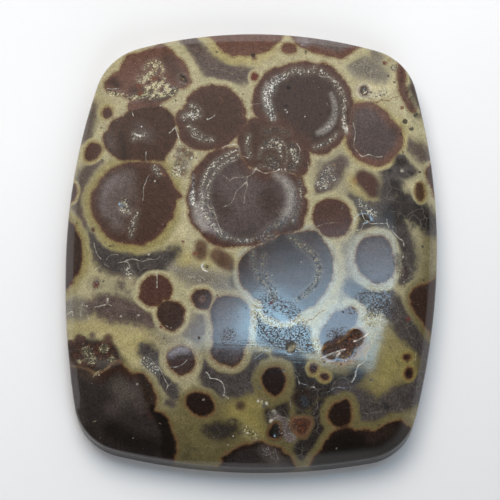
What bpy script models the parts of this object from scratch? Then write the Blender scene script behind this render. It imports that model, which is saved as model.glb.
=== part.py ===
"""Asteroid jasper cabochon: one polished stone with a domed face, a ground girdle and a flat back.

The stone lies on its back at the origin, +Z up, with its long axis on Y. All sizes are in metres.
"""
from math import atan2, cos, hypot, pi, radians, sin, sqrt

import bmesh
import bpy

# Plan of the girdle: four shallow arcs with a tighter fillet at each corner. The two arcs of each
# side meet at its waist, at these places in the list of arcs.
WIDTH = 0.0302
LENGTH = 0.0368
TOP_RADIUS = 0.036
BOTTOM_RADIUS = 0.049
TOP_CROWN_X = 0.0007
BOTTOM_CROWN_X = -0.0001
RIGHT_WAIST_Y = -0.0004
LEFT_WAIST_Y = -0.0009
RIGHT_UPPER_RADIUS = 0.053
RIGHT_LOWER_RADIUS = 0.060
LEFT_UPPER_RADIUS = 0.052
LEFT_LOWER_RADIUS = 0.070
TOP_RIGHT_FILLET = 0.0046
TOP_LEFT_FILLET = 0.0050
BOTTOM_RIGHT_FILLET = 0.0045
BOTTOM_LEFT_FILLET = 0.0045
RIGHT_WAIST_ARC = 0
LEFT_WAIST_ARC = 5

# Side view: bevelled back, nearly upright girdle wall, rounded shoulder, low crown.
THICKNESS = 0.0054
GIRDLE_HEIGHT = 0.0022
BEVEL_HEIGHT = 0.0002
BEVEL_INSET = 0.00025
WALL_DRAFT = 0.00006
SHOULDER_RISE = 0.0016
SHOULDER_WIDTH = 0.0050
SHOULDER_POWER_NEAR = 4.2
SHOULDER_POWER_FAR = 2.2
CROWN_RISE = THICKNESS - GIRDLE_HEIGHT - SHOULDER_RISE

# Mesh fineness: steps along each arc of the plan, and rings from the girdle to the middle of the crown.
SIDE_STEPS = 15
END_STEPS = 23
FILLET_STEPS = 8
SHOULDER_RINGS = 9
CROWN_RINGS = 15
SHOULDER_SHARE = 0.24
RING_CROWDING = 1.3
SHARP_ANGLE = radians(35)
POLE_SHARE = 0.012

# Open pits in the polished face: x, y, radius and depth.
PITS = (
    (-0.0085, 0.0133, 0.0016, 0.00022),
    (-0.0103, 0.0024, 0.0009, 0.00016),
    (-0.0134, -0.0096, 0.0017, 0.00030),
    (-0.0116, -0.0100, 0.0014, 0.00022),
    (0.0077, -0.0088, 0.0015, 0.00020),
    (0.0090, 0.0015, 0.0009, 0.00014),
    (0.0120, 0.0064, 0.0009, 0.00016),
)

STONE_COLOUR = (0.115, 0.075, 0.060, 1.0)
STONE_ROUGHNESS = 0.12
STONE_METALLIC = 0.0


def clear_scene():
    """Remove every object that the file opened with."""
    for item in list(bpy.data.objects):
        bpy.data.objects.remove(item, do_unlink=True)


def fillet_centre(first, first_radius, second, second_radius, radius, corner):
    """Centre of a fillet that touches two large arcs from inside, on the side of the corner."""
    reach_1 = first_radius - radius
    reach_2 = second_radius - radius
    dx = second[0] - first[0]
    dy = second[1] - first[1]
    gap = hypot(dx, dy)
    along = (reach_1 ** 2 - reach_2 ** 2 + gap ** 2) / (2 * gap)
    across = sqrt(reach_1 ** 2 - along ** 2)
    foot = (first[0] + along * dx / gap, first[1] + along * dy / gap)
    choices = [(foot[0] - side * across * dy / gap, foot[1] + side * across * dx / gap) for side in (-1, 1)]
    return min(choices, key=lambda c: hypot(c[0] - corner[0], c[1] - corner[1]))


def arc_points(centre, radius, start, end, steps):
    """Points along an arc, turned the short way from the start angle to the end angle."""
    turn = (end - start + pi) % (2 * pi) - pi
    angles = [start + turn * step / steps for step in range(steps)]
    return [(centre[0] + radius * cos(a), centre[1] + radius * sin(a)) for a in angles]


def girdle_plan():
    """The closed girdle outline as points, anticlockwise from the right waist."""
    half_width = WIDTH / 2
    half_length = LENGTH / 2
    top = ((TOP_CROWN_X, half_length - TOP_RADIUS), TOP_RADIUS)
    bottom = ((BOTTOM_CROWN_X, BOTTOM_RADIUS - half_length), BOTTOM_RADIUS)
    right_upper = ((half_width - RIGHT_UPPER_RADIUS, RIGHT_WAIST_Y), RIGHT_UPPER_RADIUS)
    right_lower = ((half_width - RIGHT_LOWER_RADIUS, RIGHT_WAIST_Y), RIGHT_LOWER_RADIUS)
    left_upper = ((LEFT_UPPER_RADIUS - half_width, LEFT_WAIST_Y), LEFT_UPPER_RADIUS)
    left_lower = ((LEFT_LOWER_RADIUS - half_width, LEFT_WAIST_Y), LEFT_LOWER_RADIUS)

    def fillet(first, second, radius, corner_x, corner_y):
        return fillet_centre(*first, *second, radius, (corner_x, corner_y)), radius

    arcs = [
        (*right_upper, SIDE_STEPS),
        (*fillet(right_upper, top, TOP_RIGHT_FILLET, half_width, half_length), FILLET_STEPS),
        (*top, END_STEPS),
        (*fillet(top, left_upper, TOP_LEFT_FILLET, -half_width, half_length), FILLET_STEPS),
        (*left_upper, SIDE_STEPS),
        (*left_lower, SIDE_STEPS),
        (*fillet(left_lower, bottom, BOTTOM_LEFT_FILLET, -half_width, -half_length), FILLET_STEPS),
        (*bottom, END_STEPS),
        (*fillet(bottom, right_lower, BOTTOM_RIGHT_FILLET, half_width, -half_length), FILLET_STEPS),
        (*right_lower, SIDE_STEPS),
    ]
    joints = []
    for (centre_1, radius_1, _), (centre_2, radius_2, _) in zip(arcs[-1:] + arcs, arcs):
        outwards = 1 if radius_1 > radius_2 else -1
        joints.append(atan2((centre_2[1] - centre_1[1]) * outwards, (centre_2[0] - centre_1[0]) * outwards))
    joints[RIGHT_WAIST_ARC] = 0.0
    joints[LEFT_WAIST_ARC] = pi
    points = []
    for (centre, radius, steps), start, end in zip(arcs, joints, joints[1:] + joints[:1]):
        points += arc_points(centre, radius, start, end, steps)
    return points


def ring_radius(share, girdle, angle):
    """Plan radius of the ring at a share of the way out: an ellipse inside, the girdle outside."""
    ellipse = 1 / hypot(cos(angle) * 2 / WIDTH, sin(angle) * 2 / LENGTH)
    follow = share ** 2
    return share * (girdle * follow + ellipse * (1 - follow))


def dome_height(share, girdle, angle):
    """Height of the polished face: a low crown and a shoulder that is steepest at the -Y end."""
    inward = min((1 - share) * girdle / SHOULDER_WIDTH, 1)
    power = SHOULDER_POWER_FAR + (SHOULDER_POWER_NEAR - SHOULDER_POWER_FAR) * (1 - sin(angle)) / 2
    shoulder = SHOULDER_RISE * (1 - (1 - inward) ** power)
    return GIRDLE_HEIGHT + CROWN_RISE * (1 - share ** 2) + shoulder


def pit_depth(x, y):
    """How far the open pits lower the face at a point."""
    depth = 0.0
    for pit_x, pit_y, radius, full_depth in PITS:
        away = hypot(x - pit_x, y - pit_y) / radius
        if away < 1:
            depth += full_depth * (1 - away ** 2) ** 2
    return depth


def turned_profile():
    """The side profile as (share, height or None): None is on the dome."""
    half_width = WIDTH / 2
    profile = [(1 - (BEVEL_INSET + WALL_DRAFT) / half_width, 0.0), (1 - WALL_DRAFT / half_width, BEVEL_HEIGHT)]
    profile.append((1.0, None))
    for ring in range(1, SHOULDER_RINGS + 1):
        profile.append((1 - SHOULDER_SHARE * (ring / SHOULDER_RINGS) ** RING_CROWDING, None))
    inner = 1 - SHOULDER_SHARE
    for ring in range(1, CROWN_RINGS + 1):
        profile.append((POLE_SHARE + (inner - POLE_SHARE) * (1 - ring / CROWN_RINGS), None))
    return profile


def build_stone():
    """Turn the side profile round Z, then press the turned form to the plan of the stone."""
    bm = bmesh.new()
    plan = girdle_plan()
    profile = turned_profile()
    corners = [bm.verts.new((share, 0, level)) for level, (share, _) in enumerate(profile)]
    edges = [bm.edges.new(pair) for pair in zip(corners, corners[1:])]
    bmesh.ops.spin(bm, geom=corners + edges, cent=(0, 0, 0), axis=(0, 0, 1), angle=2 * pi,
                   steps=len(plan), use_merge=True)
    bmesh.ops.holes_fill(bm, edges=[e for e in bm.edges if e.is_boundary], sides=len(plan))

    for vert in bm.verts:
        turned = atan2(vert.co.y, vert.co.x) / (2 * pi)
        plan_x, plan_y = plan[round(turned * len(plan)) % len(plan)]
        angle = atan2(plan_y, plan_x)
        girdle = hypot(plan_x, plan_y)
        share, height = profile[round(vert.co.z)]
        radius = ring_radius(share, girdle, angle)
        x = radius * cos(angle)
        y = radius * sin(angle)
        if height is None:
            height = dome_height(share, girdle, angle) - pit_depth(x, y)
        vert.co = (x, y, height)

    bmesh.ops.recalc_face_normals(bm, faces=bm.faces)
    mesh = bpy.data.meshes.new("cabochon")
    bm.to_mesh(mesh)
    bm.free()
    mesh.shade_smooth()
    mesh.set_sharp_from_angle(angle=SHARP_ANGLE)
    return bpy.data.objects.new("cabochon", mesh)


def stone_material():
    """Polished orbicular jasper, here in its mean colour."""
    material = bpy.data.materials.new("polished_jasper")
    material.use_nodes = True
    surface = material.node_tree.nodes["Principled BSDF"]
    surface.inputs["Base Color"].default_value = STONE_COLOUR
    surface.inputs["Roughness"].default_value = STONE_ROUGHNESS
    surface.inputs["Metallic"].default_value = STONE_METALLIC
    return material


clear_scene()
collection = bpy.data.collections.new("asteroid_jasper_cabochon")
bpy.context.scene.collection.children.link(collection)
stone = build_stone()
stone.data.materials.append(stone_material())
collection.objects.link(stone)
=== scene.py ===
"""An asteroid jasper cabochon: orbicular jasper, domed and polished, lying on its flat back."""
import math

import bmesh
import bpy
import numpy as np
from mathutils import Matrix, Vector


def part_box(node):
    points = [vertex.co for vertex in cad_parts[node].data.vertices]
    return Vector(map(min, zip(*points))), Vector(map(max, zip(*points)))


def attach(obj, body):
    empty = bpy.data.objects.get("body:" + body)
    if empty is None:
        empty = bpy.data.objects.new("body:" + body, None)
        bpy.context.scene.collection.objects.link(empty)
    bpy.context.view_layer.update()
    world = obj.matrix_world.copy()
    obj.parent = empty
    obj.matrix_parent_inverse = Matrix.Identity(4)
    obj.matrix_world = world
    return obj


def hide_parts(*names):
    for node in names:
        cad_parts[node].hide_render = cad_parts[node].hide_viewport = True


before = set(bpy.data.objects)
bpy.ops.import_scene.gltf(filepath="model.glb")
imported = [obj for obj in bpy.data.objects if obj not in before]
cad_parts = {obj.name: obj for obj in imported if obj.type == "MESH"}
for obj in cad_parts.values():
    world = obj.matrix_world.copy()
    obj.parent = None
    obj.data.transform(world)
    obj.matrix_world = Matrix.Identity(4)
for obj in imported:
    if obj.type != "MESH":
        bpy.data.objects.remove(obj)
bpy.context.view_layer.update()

# The view. The stone lies face up and is seen from a little in front of straight above, through a
# long lens that squares up its outline. Its long axis leans slightly to the right in the frame.
CAMERA_DISTANCE = 0.350
CAMERA_TILT = math.radians(16)
CAMERA_ROLL = math.radians(1.6)
CAMERA_AIM = Vector((-0.00014, -0.00020, 0.0022))
LENS_MM = 309.5
SENSOR_MM = 36.0
FRAME_PIXELS = 500

camera = bpy.data.objects.new("camera", bpy.data.cameras.new("camera"))
bpy.context.scene.collection.objects.link(camera)
bpy.context.scene.camera = camera
camera.data.sensor_width = SENSOR_MM
camera.data.lens = LENS_MM
camera.data.clip_start = 0.01
camera.data.clip_end = 10
backwards = Vector((0, -math.sin(CAMERA_TILT), math.cos(CAMERA_TILT)))
camera.matrix_world = (
    Matrix.Translation(CAMERA_AIM + CAMERA_DISTANCE * backwards)
    @ backwards.to_track_quat("Z", "Y").to_matrix().to_4x4()
    @ Matrix.Rotation(CAMERA_ROLL, 4, "Z")
)


def seen_at(points):
    """Where points in metres fall in the 500-pixel frame: pixels to the right and down."""
    matrix = np.array(camera.matrix_world.inverted())
    local = points @ matrix[:3, :3].T + matrix[:3, 3]
    scale = FRAME_PIXELS * LENS_MM / SENSOR_MM / -local[:, 2]
    return FRAME_PIXELS / 2 + np.c_[local[:, 0] * scale, -local[:, 1] * scale]


# The blank. One piece of jasper, sawn flat on the back, ground to a cushion outline on a wheel and
# domed by hand: a low crown, a shoulder that is steepest at the near end and an upright girdle wall.
GIRDLE_HEIGHT = 0.0022
BEVEL_HEIGHT = 0.0002
BEVEL_INSET = 0.00025
WALL_DRAFT = 0.00006
SHOULDER_RISE = 0.0016
SHOULDER_WIDTH = 0.0050
SHOULDER_POWER_NEAR = 4.2
SHOULDER_POWER_FAR = 2.2
EDGE_ROUND = 0.00014
CELLS_ACROSS = 240
CELLS_ALONG = 292
ROUND_ROWS = 4
WALL_ROWS = 5
OUTLINE_STEP = 0.0001
SIDE_SAMPLES = 2000
SHARP_ANGLE = math.radians(35)

_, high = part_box("cabochon")
crown_rise = high.z - GIRDLE_HEIGHT - SHOULDER_RISE


def flowing(points, closed, step):
    """A smooth curve through the points, cut into even steps of about this length."""
    if closed:
        padded = np.vstack([points[-1:], points, points[:2]])
    else:
        padded = np.vstack([2 * points[0] - points[1], points, 2 * points[-1] - points[-2]])
    curve = []
    for before, start, end, after in zip(padded, padded[1:], padded[2:], padded[3:]):
        count = max(1, round(float(np.hypot(*(end - start)[:2])) / step))
        t = np.arange(count)[:, None] / count
        bend = 2 * before - 5 * start + 4 * end - after
        twist = 3 * start - before - 3 * end + after
        curve.append(start + 0.5 * t * (end - before + t * (bend + t * twist)))
    if not closed:
        curve.append(points[-1:])
    return np.vstack(curve)


def girdle_outline():
    """The widest ring of the CAD stone as angle and radius, in order of angle from 0 to a full turn."""
    rim = {(round(v.co.x, 7), round(v.co.y, 7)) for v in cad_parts["cabochon"].data.vertices
           if abs(v.co.z - GIRDLE_HEIGHT) < 1e-6}
    ring = flowing(np.array(sorted(rim, key=lambda p: math.atan2(p[1], p[0]))), True, OUTLINE_STEP)
    angles = np.arctan2(ring[:, 1], ring[:, 0]) % math.tau
    order = np.argsort(angles)
    return angles[order], np.hypot(*ring[order].T)


outline_angles, outline_radii = girdle_outline()


def girdle_at(angles):
    """Radius of the girdle in the given directions."""
    return np.interp(angles, outline_angles, outline_radii, period=math.tau)


def side_angles(corner, next_corner, cells):
    """Angles that part one side of the outline into cells of even length, from corner to corner."""
    turn = (next_corner - corner) % math.tau
    fine = corner + turn * np.linspace(0, 1, SIDE_SAMPLES)
    radii = girdle_at(fine)
    walked = np.r_[0, np.cumsum(np.hypot(*np.diff([radii * np.cos(fine), radii * np.sin(fine)])))]
    return np.interp(np.linspace(0, walked[-1], cells + 1), walked, fine)


def lattice_angles(across, along):
    """The direction from the middle of the stone for each place on the square lattice."""
    corner = math.atan2(high.y, high.x)
    right = side_angles(-corner, corner, CELLS_ALONG)
    top = side_angles(corner, math.pi - corner, CELLS_ACROSS)
    left = side_angles(math.pi - corner, math.pi + corner, CELLS_ALONG)
    bottom = side_angles(math.pi + corner, -corner, CELLS_ACROSS)
    reach = np.maximum(np.maximum(abs(across), abs(along)), 1e-9)
    places = [along / reach, -across / reach, -along / reach, across / reach]
    sides = [np.interp(place, np.linspace(-1, 1, len(side)), side)
             for place, side in zip(places, [right, top, left, bottom])]
    beside = np.where(across > 0, sides[0], sides[2])
    above = np.where(along > 0, sides[1], sides[3])
    return np.where(abs(across) >= abs(along), beside, above)


def ring_radius(share, angles):
    """Plan radius of the ring at a share of the way out: an ellipse inside, the girdle outside."""
    ellipse = 1 / np.hypot(np.cos(angles) / high.x, np.sin(angles) / high.y)
    return share * (girdle_at(angles) * share ** 2 + ellipse * (1 - share ** 2))


def shoulder_power(angles):
    """How sharply the shoulder turns, from the far end of the stone to the near one."""
    return SHOULDER_POWER_FAR + (SHOULDER_POWER_NEAR - SHOULDER_POWER_FAR) * (1 - np.sin(angles)) / 2


def dome_height(share, angles):
    """Height of the polished face: a low crown and a shoulder of even width at the edge."""
    inward = np.clip((1 - share) * girdle_at(angles) / SHOULDER_WIDTH, 0, 1)
    shoulder = SHOULDER_RISE * (1 - (1 - inward) ** shoulder_power(angles))
    return GIRDLE_HEIGHT + crown_rise * (1 - share ** 2) + shoulder


def wall_profile():
    """Inset, height and share in the shoulder's rise of the rows below the dome, down to the back."""
    t = np.linspace(0, 1, ROUND_ROWS + 1)[1:]
    worn = np.c_[EDGE_ROUND * (1 - t) ** 2, GIRDLE_HEIGHT - EDGE_ROUND * t ** 2, EDGE_ROUND * (1 - t) ** 2]
    drop = np.linspace(0, 1, WALL_ROWS + 1)[1:]
    foot = GIRDLE_HEIGHT - EDGE_ROUND
    wall = np.c_[WALL_DRAFT * drop, foot + (BEVEL_HEIGHT - foot) * drop, 0 * drop]
    return np.vstack([worn, wall, [WALL_DRAFT + BEVEL_INSET, 0, 0]])


def on_back_lattice(place, cells):
    """The place on the coarser lattice of the back that a place on the face's lattice falls to."""
    return np.floor((place + 1) * cells / 4 + 1e-4) * 4 / cells - 1


def press(lattice):
    """Lattice places (across, along, minus the row) to points on the stone, in metres."""
    across, along, row = lattice.T
    row = np.round(-row).astype(int)
    profile = wall_profile()
    foot = row == len(profile)
    across = np.where(foot, on_back_lattice(across, CELLS_ACROSS), across)
    along = np.where(foot, on_back_lattice(along, CELLS_ALONG), along)
    angles = lattice_angles(across, along)
    girdle = girdle_at(angles)
    edge_share = 1 - EDGE_ROUND / girdle
    share = np.maximum(abs(across), abs(along)) * edge_share
    inset, height, rise = np.vstack([[0, 0, 0], profile])[row].T
    slope = 2 * crown_rise / girdle + SHOULDER_RISE * shoulder_power(angles) / SHOULDER_WIDTH
    radius = np.where(row == 0, ring_radius(share, angles), girdle - inset)
    radius = np.where(foot, radius * share / edge_share, radius)
    height = np.where(row == 0, dome_height(share, angles), height + slope * rise)
    return np.c_[radius * np.cos(angles), radius * np.sin(angles), height]


# shares of the flat colour map
FACE_WIDTH_ON_MAP = 0.79
FACE_LENGTH_ON_MAP = 0.96
BACK_WIDTH_ON_MAP = 0.17
BACK_LENGTH_ON_MAP = 0.21
STRIP_WIDTH_ON_MAP = 0.035
STRIP_LENGTH_ON_MAP = 0.72
MARGIN_ON_MAP = 0.01


def on_map(middle, place, rows):
    """Where a lattice place lies on the flat colour map: the face, the back or one of four wall strips."""
    across, along = (place.x + 1) / 2, (place.y + 1) / 2
    right_part = FACE_WIDTH_ON_MAP + 3 * MARGIN_ON_MAP
    if middle.z > -0.1:
        return MARGIN_ON_MAP + FACE_WIDTH_ON_MAP * across, MARGIN_ON_MAP + FACE_LENGTH_ON_MAP * along
    if middle.z < 0.1 - rows:
        return right_part + BACK_WIDTH_ON_MAP * across, MARGIN_ON_MAP + BACK_LENGTH_ON_MAP * along
    upright = abs(middle.x) > abs(middle.y)
    strip = 2 + (middle.x > 0) if upright else int(middle.y > 0)
    reach = along if upright else across
    start = right_part + strip * (STRIP_WIDTH_ON_MAP + MARGIN_ON_MAP)
    return (start - STRIP_WIDTH_ON_MAP * place.z / rows,
            BACK_LENGTH_ON_MAP + 3 * MARGIN_ON_MAP + STRIP_LENGTH_ON_MAP * reach)


def stone_mesh():
    """A fine lattice for the face, rows pulled down for the wall and a coarser lattice for the back."""
    bm = bmesh.new()
    bmesh.ops.create_grid(bm, x_segments=CELLS_ACROSS, y_segments=CELLS_ALONG, size=1)
    rim = [edge for edge in bm.edges if edge.is_boundary]
    rows = len(wall_profile())
    for _ in range(rows):
        pulled = bmesh.ops.extrude_edge_only(bm, edges=rim)["geom"]
        rim = [part for part in pulled if isinstance(part, bmesh.types.BMEdge)]
        edge_verts = [part for part in pulled if isinstance(part, bmesh.types.BMVert)]
        bmesh.ops.translate(bm, verts=edge_verts, vec=(0, 0, -1))
    faces_above = len(bm.faces)
    bmesh.ops.create_grid(bm, x_segments=CELLS_ACROSS // 2, y_segments=CELLS_ALONG // 2, size=1,
                          matrix=Matrix.Translation((0, 0, -rows)))
    bm.faces.ensure_lookup_table()
    bmesh.ops.reverse_faces(bm, faces=bm.faces[faces_above:])
    flat_map = bm.loops.layers.uv.new("OFBake")
    for face in bm.faces:
        middle = face.calc_center_median()
        for loop in face.loops:
            loop[flat_map].uv = on_map(middle, loop.vert.co, rows)
    for vert, place in zip(bm.verts, press(np.array([vert.co for vert in bm.verts]))):
        vert.co = place
    bmesh.ops.remove_doubles(bm, verts=[v for v in bm.verts if v.co.z < 1e-6], dist=2e-6)
    bmesh.ops.recalc_face_normals(bm, faces=bm.faces)
    mesh = bpy.data.meshes.new("polished_stone")
    bm.to_mesh(mesh)
    bm.free()
    mesh.shade_smooth()
    mesh.set_sharp_from_angle(angle=SHARP_ANGLE)
    return mesh


stone = bpy.data.objects.new("polished_stone", stone_mesh())
bpy.context.scene.collection.objects.link(stone)
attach(stone, "root")
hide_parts("cabochon")

# The pits. Where the stone was crumbly or a crystal pocket lay open, small hollows are left in the
# polished face. Each is a pixel place, a radius in pixels and a depth in tenths of a millimetre.
PIXELS_PER_MILLIMETRE = 12.28
PIXEL = 0.001 / PIXELS_PER_MILLIMETRE
PIT_DEPTH_UNIT = 0.0001
PITS = {
    "crystal pocket of the vuggy orb": "152,80,19,2.2",
    "pocket of the left orb": "126,207,11,1.6",
    "crumbly zone": "82,349,21,3.0 104,354,17,2.2",
    "dark red patch": "331,351,9,1.2 343,347,12,1.8 355,338,9,1.4",
    "star crack": "364,224,11,1.4",
    "black spot": "402,167,11,1.6",
    "crescent": "206,267,4,1.0",
    "cream pit": "291,348,5,1.0",
    "grey pit": "364,91,5,1.2",
    "black pit": "275,432,7,1.4",
}


def places(text):
    """Pixel places from a line such as '160,44 165,45', with further numbers after x and y if any."""
    return np.array([[float(number) for number in place.split(",")] for place in text.split()])


corners = np.zeros(len(stone.data.vertices) * 3)
stone.data.vertices.foreach_get("co", corners)
corners = corners.reshape(-1, 3)
below_face = np.maximum(GIRDLE_HEIGHT - corners[:, 2], 0) / PIXEL
straight_up = np.c_[corners[:, :2], np.maximum(corners[:, 2], GIRDLE_HEIGHT)]
spots = seen_at(straight_up)
for x, y, radius, depth in np.vstack([places(pit) for pit in PITS.values()]):
    away = np.hypot(*(spots - (x, y)).T) / radius
    hollow = (away < 1) & (below_face == 0)
    corners[hollow, 2] -= PIT_DEPTH_UNIT * depth * (1 - away[hollow] ** 2) ** 2
stone.data.vertices.foreach_set("co", corners.ravel())

# The ground mass. Between the orbs lies cream and olive chalcedony, and where the orbs stand far
# apart it turns into smoky grey quartz with soft, hazy borders. Both fill the stone right through.
TINTS = {
    "ivory": (198, 188, 150), "cream": (173, 164, 129), "bone": (200, 194, 176), "chalk": (232, 230, 222),
    "straw": (168, 155, 106), "hay": (138, 126, 74), "olive": (102, 92, 60), "moss": (80, 70, 46),
    "amber": (150, 112, 62), "rust": (104, 62, 40), "brick": (92, 38, 28), "sand": (136, 122, 92),
    "mist": (124, 117, 104), "smoke": (89, 75, 69), "slate": (69, 62, 59), "shade": (48, 41, 38),
    "buff": (150, 139, 108), "bark": (70, 48, 28), "soot": (45, 39, 36), "fringe": (112, 80, 52),
    "char": (46, 34, 27), "clay": (76, 50, 38), "tawny": (120, 93, 80), "celadon": (158, 158, 142),
    "pearl": (168, 162, 154), "hazel": (98, 76, 58), "sallow": (138, 127, 84), "russet": (102, 72, 60),
    "maroon": (78, 53, 44), "cocoa": (70, 49, 38), "walnut": (64, 48, 42), "umber": (62, 46, 39),
    "garnet": (54, 37, 30), "plum": (80, 67, 64), "mauve": (104, 92, 88), "lilac": (142, 134, 136),
    "sable": (35, 24, 19), "ink": (24, 19, 16),
}
# Each patch is a tint, a strength, a feather and chains of soft discs, all in pixels of the frame.
GROUND_WASHES = {
    "gap under the ringed orb": ("buff", 0.8, 16, "325,160,6 316,166,4"),
    "gap under the top orb": ("buff", 0.5, 16, "225,58,5"),
    "pale gaps of the far half": ("ivory", 0.8, 30, "98,142,6", "200,95,6 190,104,6", "330,60,6 350,60,6",
        "376,92,10 396,88,8 408,112,6", "186,225,8 186,205,5"),
    "straw gaps of the far half": ("straw", 0.5, 30, "118,62,10 108,90,8 106,104,6", "225,58,5 240,62,5",
        "160,240,14 120,250,14 90,262,10", "408,140,6"),
    "band over the corner orb": ("straw", 1.0, 50, "66,330,6 90,328,6 112,328,8 130,345,12 150,335,12"),
    "greyish gaps": ("mist", 0.9, 30, "244,140,3 232,150,2", "320,160,6 335,158,6", "352,190,6",
        "346,245,6 347,290,8 352,236,8", "205,318,8 196,340,8", "160,330,6 170,340,6",
        "228,290,8 240,276,4"),
    "ground of the near half": ("olive", 1.0, 60,
        "130,480,40 190,455,50 260,425,44 330,415,50 400,375,40 440,310,14"),
    "yellow field": ("sallow", 0.8, 30, "380,345,8 392,360,13 385,380,9", "405,345,6"),
    "depth of the yellow field": ("hay", 0.5, 20, "390,365,8 382,378,6"),
    "field by the near edge": ("hay", 0.8, 24, "240,412,10 258,436,7", "256,404,5"),
    "olive edges": ("olive", 0.8, 20, "428,225,7 428,250,8 426,275,8", "180,400,6 184,415,8 182,440,9"),
    "olive rims of the near orbs": ("olive", 0.7, 10,
        "205,350,4 208,364,5 222,374,5 238,372,5 249,360,4 253,345,3", "255,370,4 262,395,5 275,400,5",
        "325,400,4 326,425,4"),
    "brightest gaps": ("ivory", 0.7, 14, "184,200,5 186,215,5", "410,138,5 418,132,4",
        "98,135,4 104,134,3"),
    "stripe by the shoulder orb": ("straw", 0.8, 10, "384,103,3 394,114,3 402,128,4 404,142,3"),
    "streak by the grey pit": ("chalk", 0.2, 12, "372,104,3 384,108,3 392,114,3"),
    "stripe under the top orb": ("hay", 0.7, 14, "210,56,4 225,58,4 240,60,4"),
    "gap right of the split orb": ("straw", 0.5, 14, "182,260,9"),
    "ground under the split orb": ("hay", 0.5, 14, "130,250,7 118,252,6"),
    "near edge": ("moss", 0.6, 18, "176,440,8 184,460,8", "240,455,10 300,460,8"),
    "gap left of the knot": ("sand", 0.5, 12, "180,152,6 184,168,7"),
    "gap left of the great orb": ("bone", 0.5, 12, "184,200,4"),
    "gap right of the cherry": ("hay", 0.6, 14, "235,418,5"),
    "gap left of the shoulder orb": ("mist", 0.6, 8, "345,160,4"),
}
SMOKE_CLOUDS = {
    "arc under the top orb": ("smoke", 1, 18,
        "186,37,8 192,44,9 198,52,9 204,60,9 214,69,11 228,73,10 240,75,9 249,73,6"),
    "gap left of the knot": ("smoke", 0.35, 12, "178,158,5 183,168,6"),
    "patch at the top right": ("mist", 0.95, 16, "350,62,6 360,66,11 372,70,10 382,76,6",
        "374,48,4 376,58,6"),
    "far margins": ("smoke", 0.9, 16, "94,104,3 90,120,7 86,138,6",
        "100,162,4 92,170,9 83,182,9 79,196,8 80,210,8 84,222,7 90,234,5", "408,76,7 414,94,8 420,110,7",
        "410,144,6 419,151,8 428,157,8"),
    "patch under the ringed orb": ("smoke", 1, 13, "340,164,7 330,176,11 321,188,8"),
    "band right of the round orb": ("slate", 1, 16, "386,168,7 392,182,11 386,196,8",
        "352,200,5 362,210,10 376,216,13 392,212,15 408,206,13 422,216,12 434,228,9",
        "396,228,13 402,244,12 406,260,11 403,276,10", "354,230,4 364,228,8 374,230,8"),
    "band under the split orb": ("slate", 1, 18,
        "92,236,5 98,248,8 110,260,13 130,264,14 148,264,13 164,261,11 176,250,4"),
    "band under the great orb": ("mist", 0.9, 18, "178,271,6 194,277,10 212,281,10 228,284,8"),
    "haze over the chestnut": ("smoke", 0.45, 14, "104,284,8 120,288,8 132,284,6"),
    "left margin": ("mist", 1, 16, "64,310,9 82,312,8"),
    "top of the left margin": ("mist", 1, 16, "66,306,8 82,308,9 90,308,7"),
    "band left of the chestnuts": ("smoke", 1, 20, "104,306,13 118,309,14 134,313,11 150,320,8"),
    "patches round the chestnuts": ("smoke", 0.7, 16, "96,284,6", "118,284,6 126,292,5",
        "202,316,8 195,330,11 188,342,8"),
    "spot by the corner orb": ("smoke", 0.7, 10, "157,376,4"),
    "gap left of the acorn": ("soot", 1, 14, "320,426,6"),
    "ground of the black spot": ("soot", 1, 10, "392,166,4 402,166,7 412,172,5", "396,186,4 402,196,5"),
    "shade under the double orb": ("soot", 0.8, 15, "206,372,8 222,382,10 242,380,9"),
    "right edge": ("soot", 0.6, 16, "396,214,8 412,214,8 424,222,6"),
    "band by the half lit orb": ("slate", 1, 15, "146,350,8 156,364,11 164,378,10 172,391,7",
        "160,400,4 170,404,4", "150,356,8 162,372,10"),
    "arc under the double orb": ("slate", 1, 16,
        "202,368,8 214,380,12 228,386,12 242,382,13 254,372,11 262,360,9"),
    "patch over the bull's eye": ("slate", 1, 16, "280,352,8 294,356,9 300,364,8"),
    "band right of the bull's eye": ("soot", 1, 16,
        "302,374,10 296,382,9 318,386,13 334,386,11 348,383,9 358,374,6"),
    "ground of the sooty spot": ("shade", 1, 12, "304,399,12"),
    "sooty spot": ("char", 1, 10, "303,399,8"),
    "net by the near edge": ("soot", 1, 14, "316,408,5 312,416,5 300,414,4",
        "282,408,8 278,420,9 268,412,4", "322,404,7 320,420,10 314,436,12 304,450,10", "306,404,6"),
    "patch by the cherry": ("soot", 0.9, 20, "210,429,7 222,431,10 234,428,7"),
    "brown dot": ("umber", 0.8, 10, "240,405,4"),
    "crystal patch": ("mauve", 1, 8, "280,426,5 286,430,8 290,436,6", "276,420,4"),
    "arc over the lower right orb": ("slate", 1, 16,
        "346,392,9 360,403,13 374,411,11 388,404,10 402,398,13 416,391,12 426,376,9 431,352,8"),
    "rim of the crystal ring orb": ("slate", 1, 14,
        "240,268,8 246,288,10 252,306,8 254,322,8 264,334,11 282,338,11 300,334,10 309,345,9"),
    "band under the oval orb": ("slate", 1, 16,
        "352,288,8 368,296,12 384,300,12 396,310,12 406,324,13 416,338,11 424,350,8"),
}
NOWHERE = 99.0
CHAIN_STEP = 2.0
CHAIN_SPREAD = 0.6


def tint(name):
    """A named tint as linear colour."""
    colour = np.array(TINTS[name]) / 255
    return np.where(colour > 0.04045, ((colour + 0.055) / 1.055) ** 2.4, colour / 12.92)


def ease(value):
    """0 below 0, 1 above 1 and a smooth step between."""
    value = np.clip(value, 0, 1)
    return value * value * (3 - 2 * value)


def near_to(line, reach):
    """Which corners of the mesh lie within reach of the line's bounding box."""
    inside = np.all((spots > line[:, :2].min(0) - reach) & (spots < line[:, :2].max(0) + reach), axis=1)
    return np.flatnonzero(inside)


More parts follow.
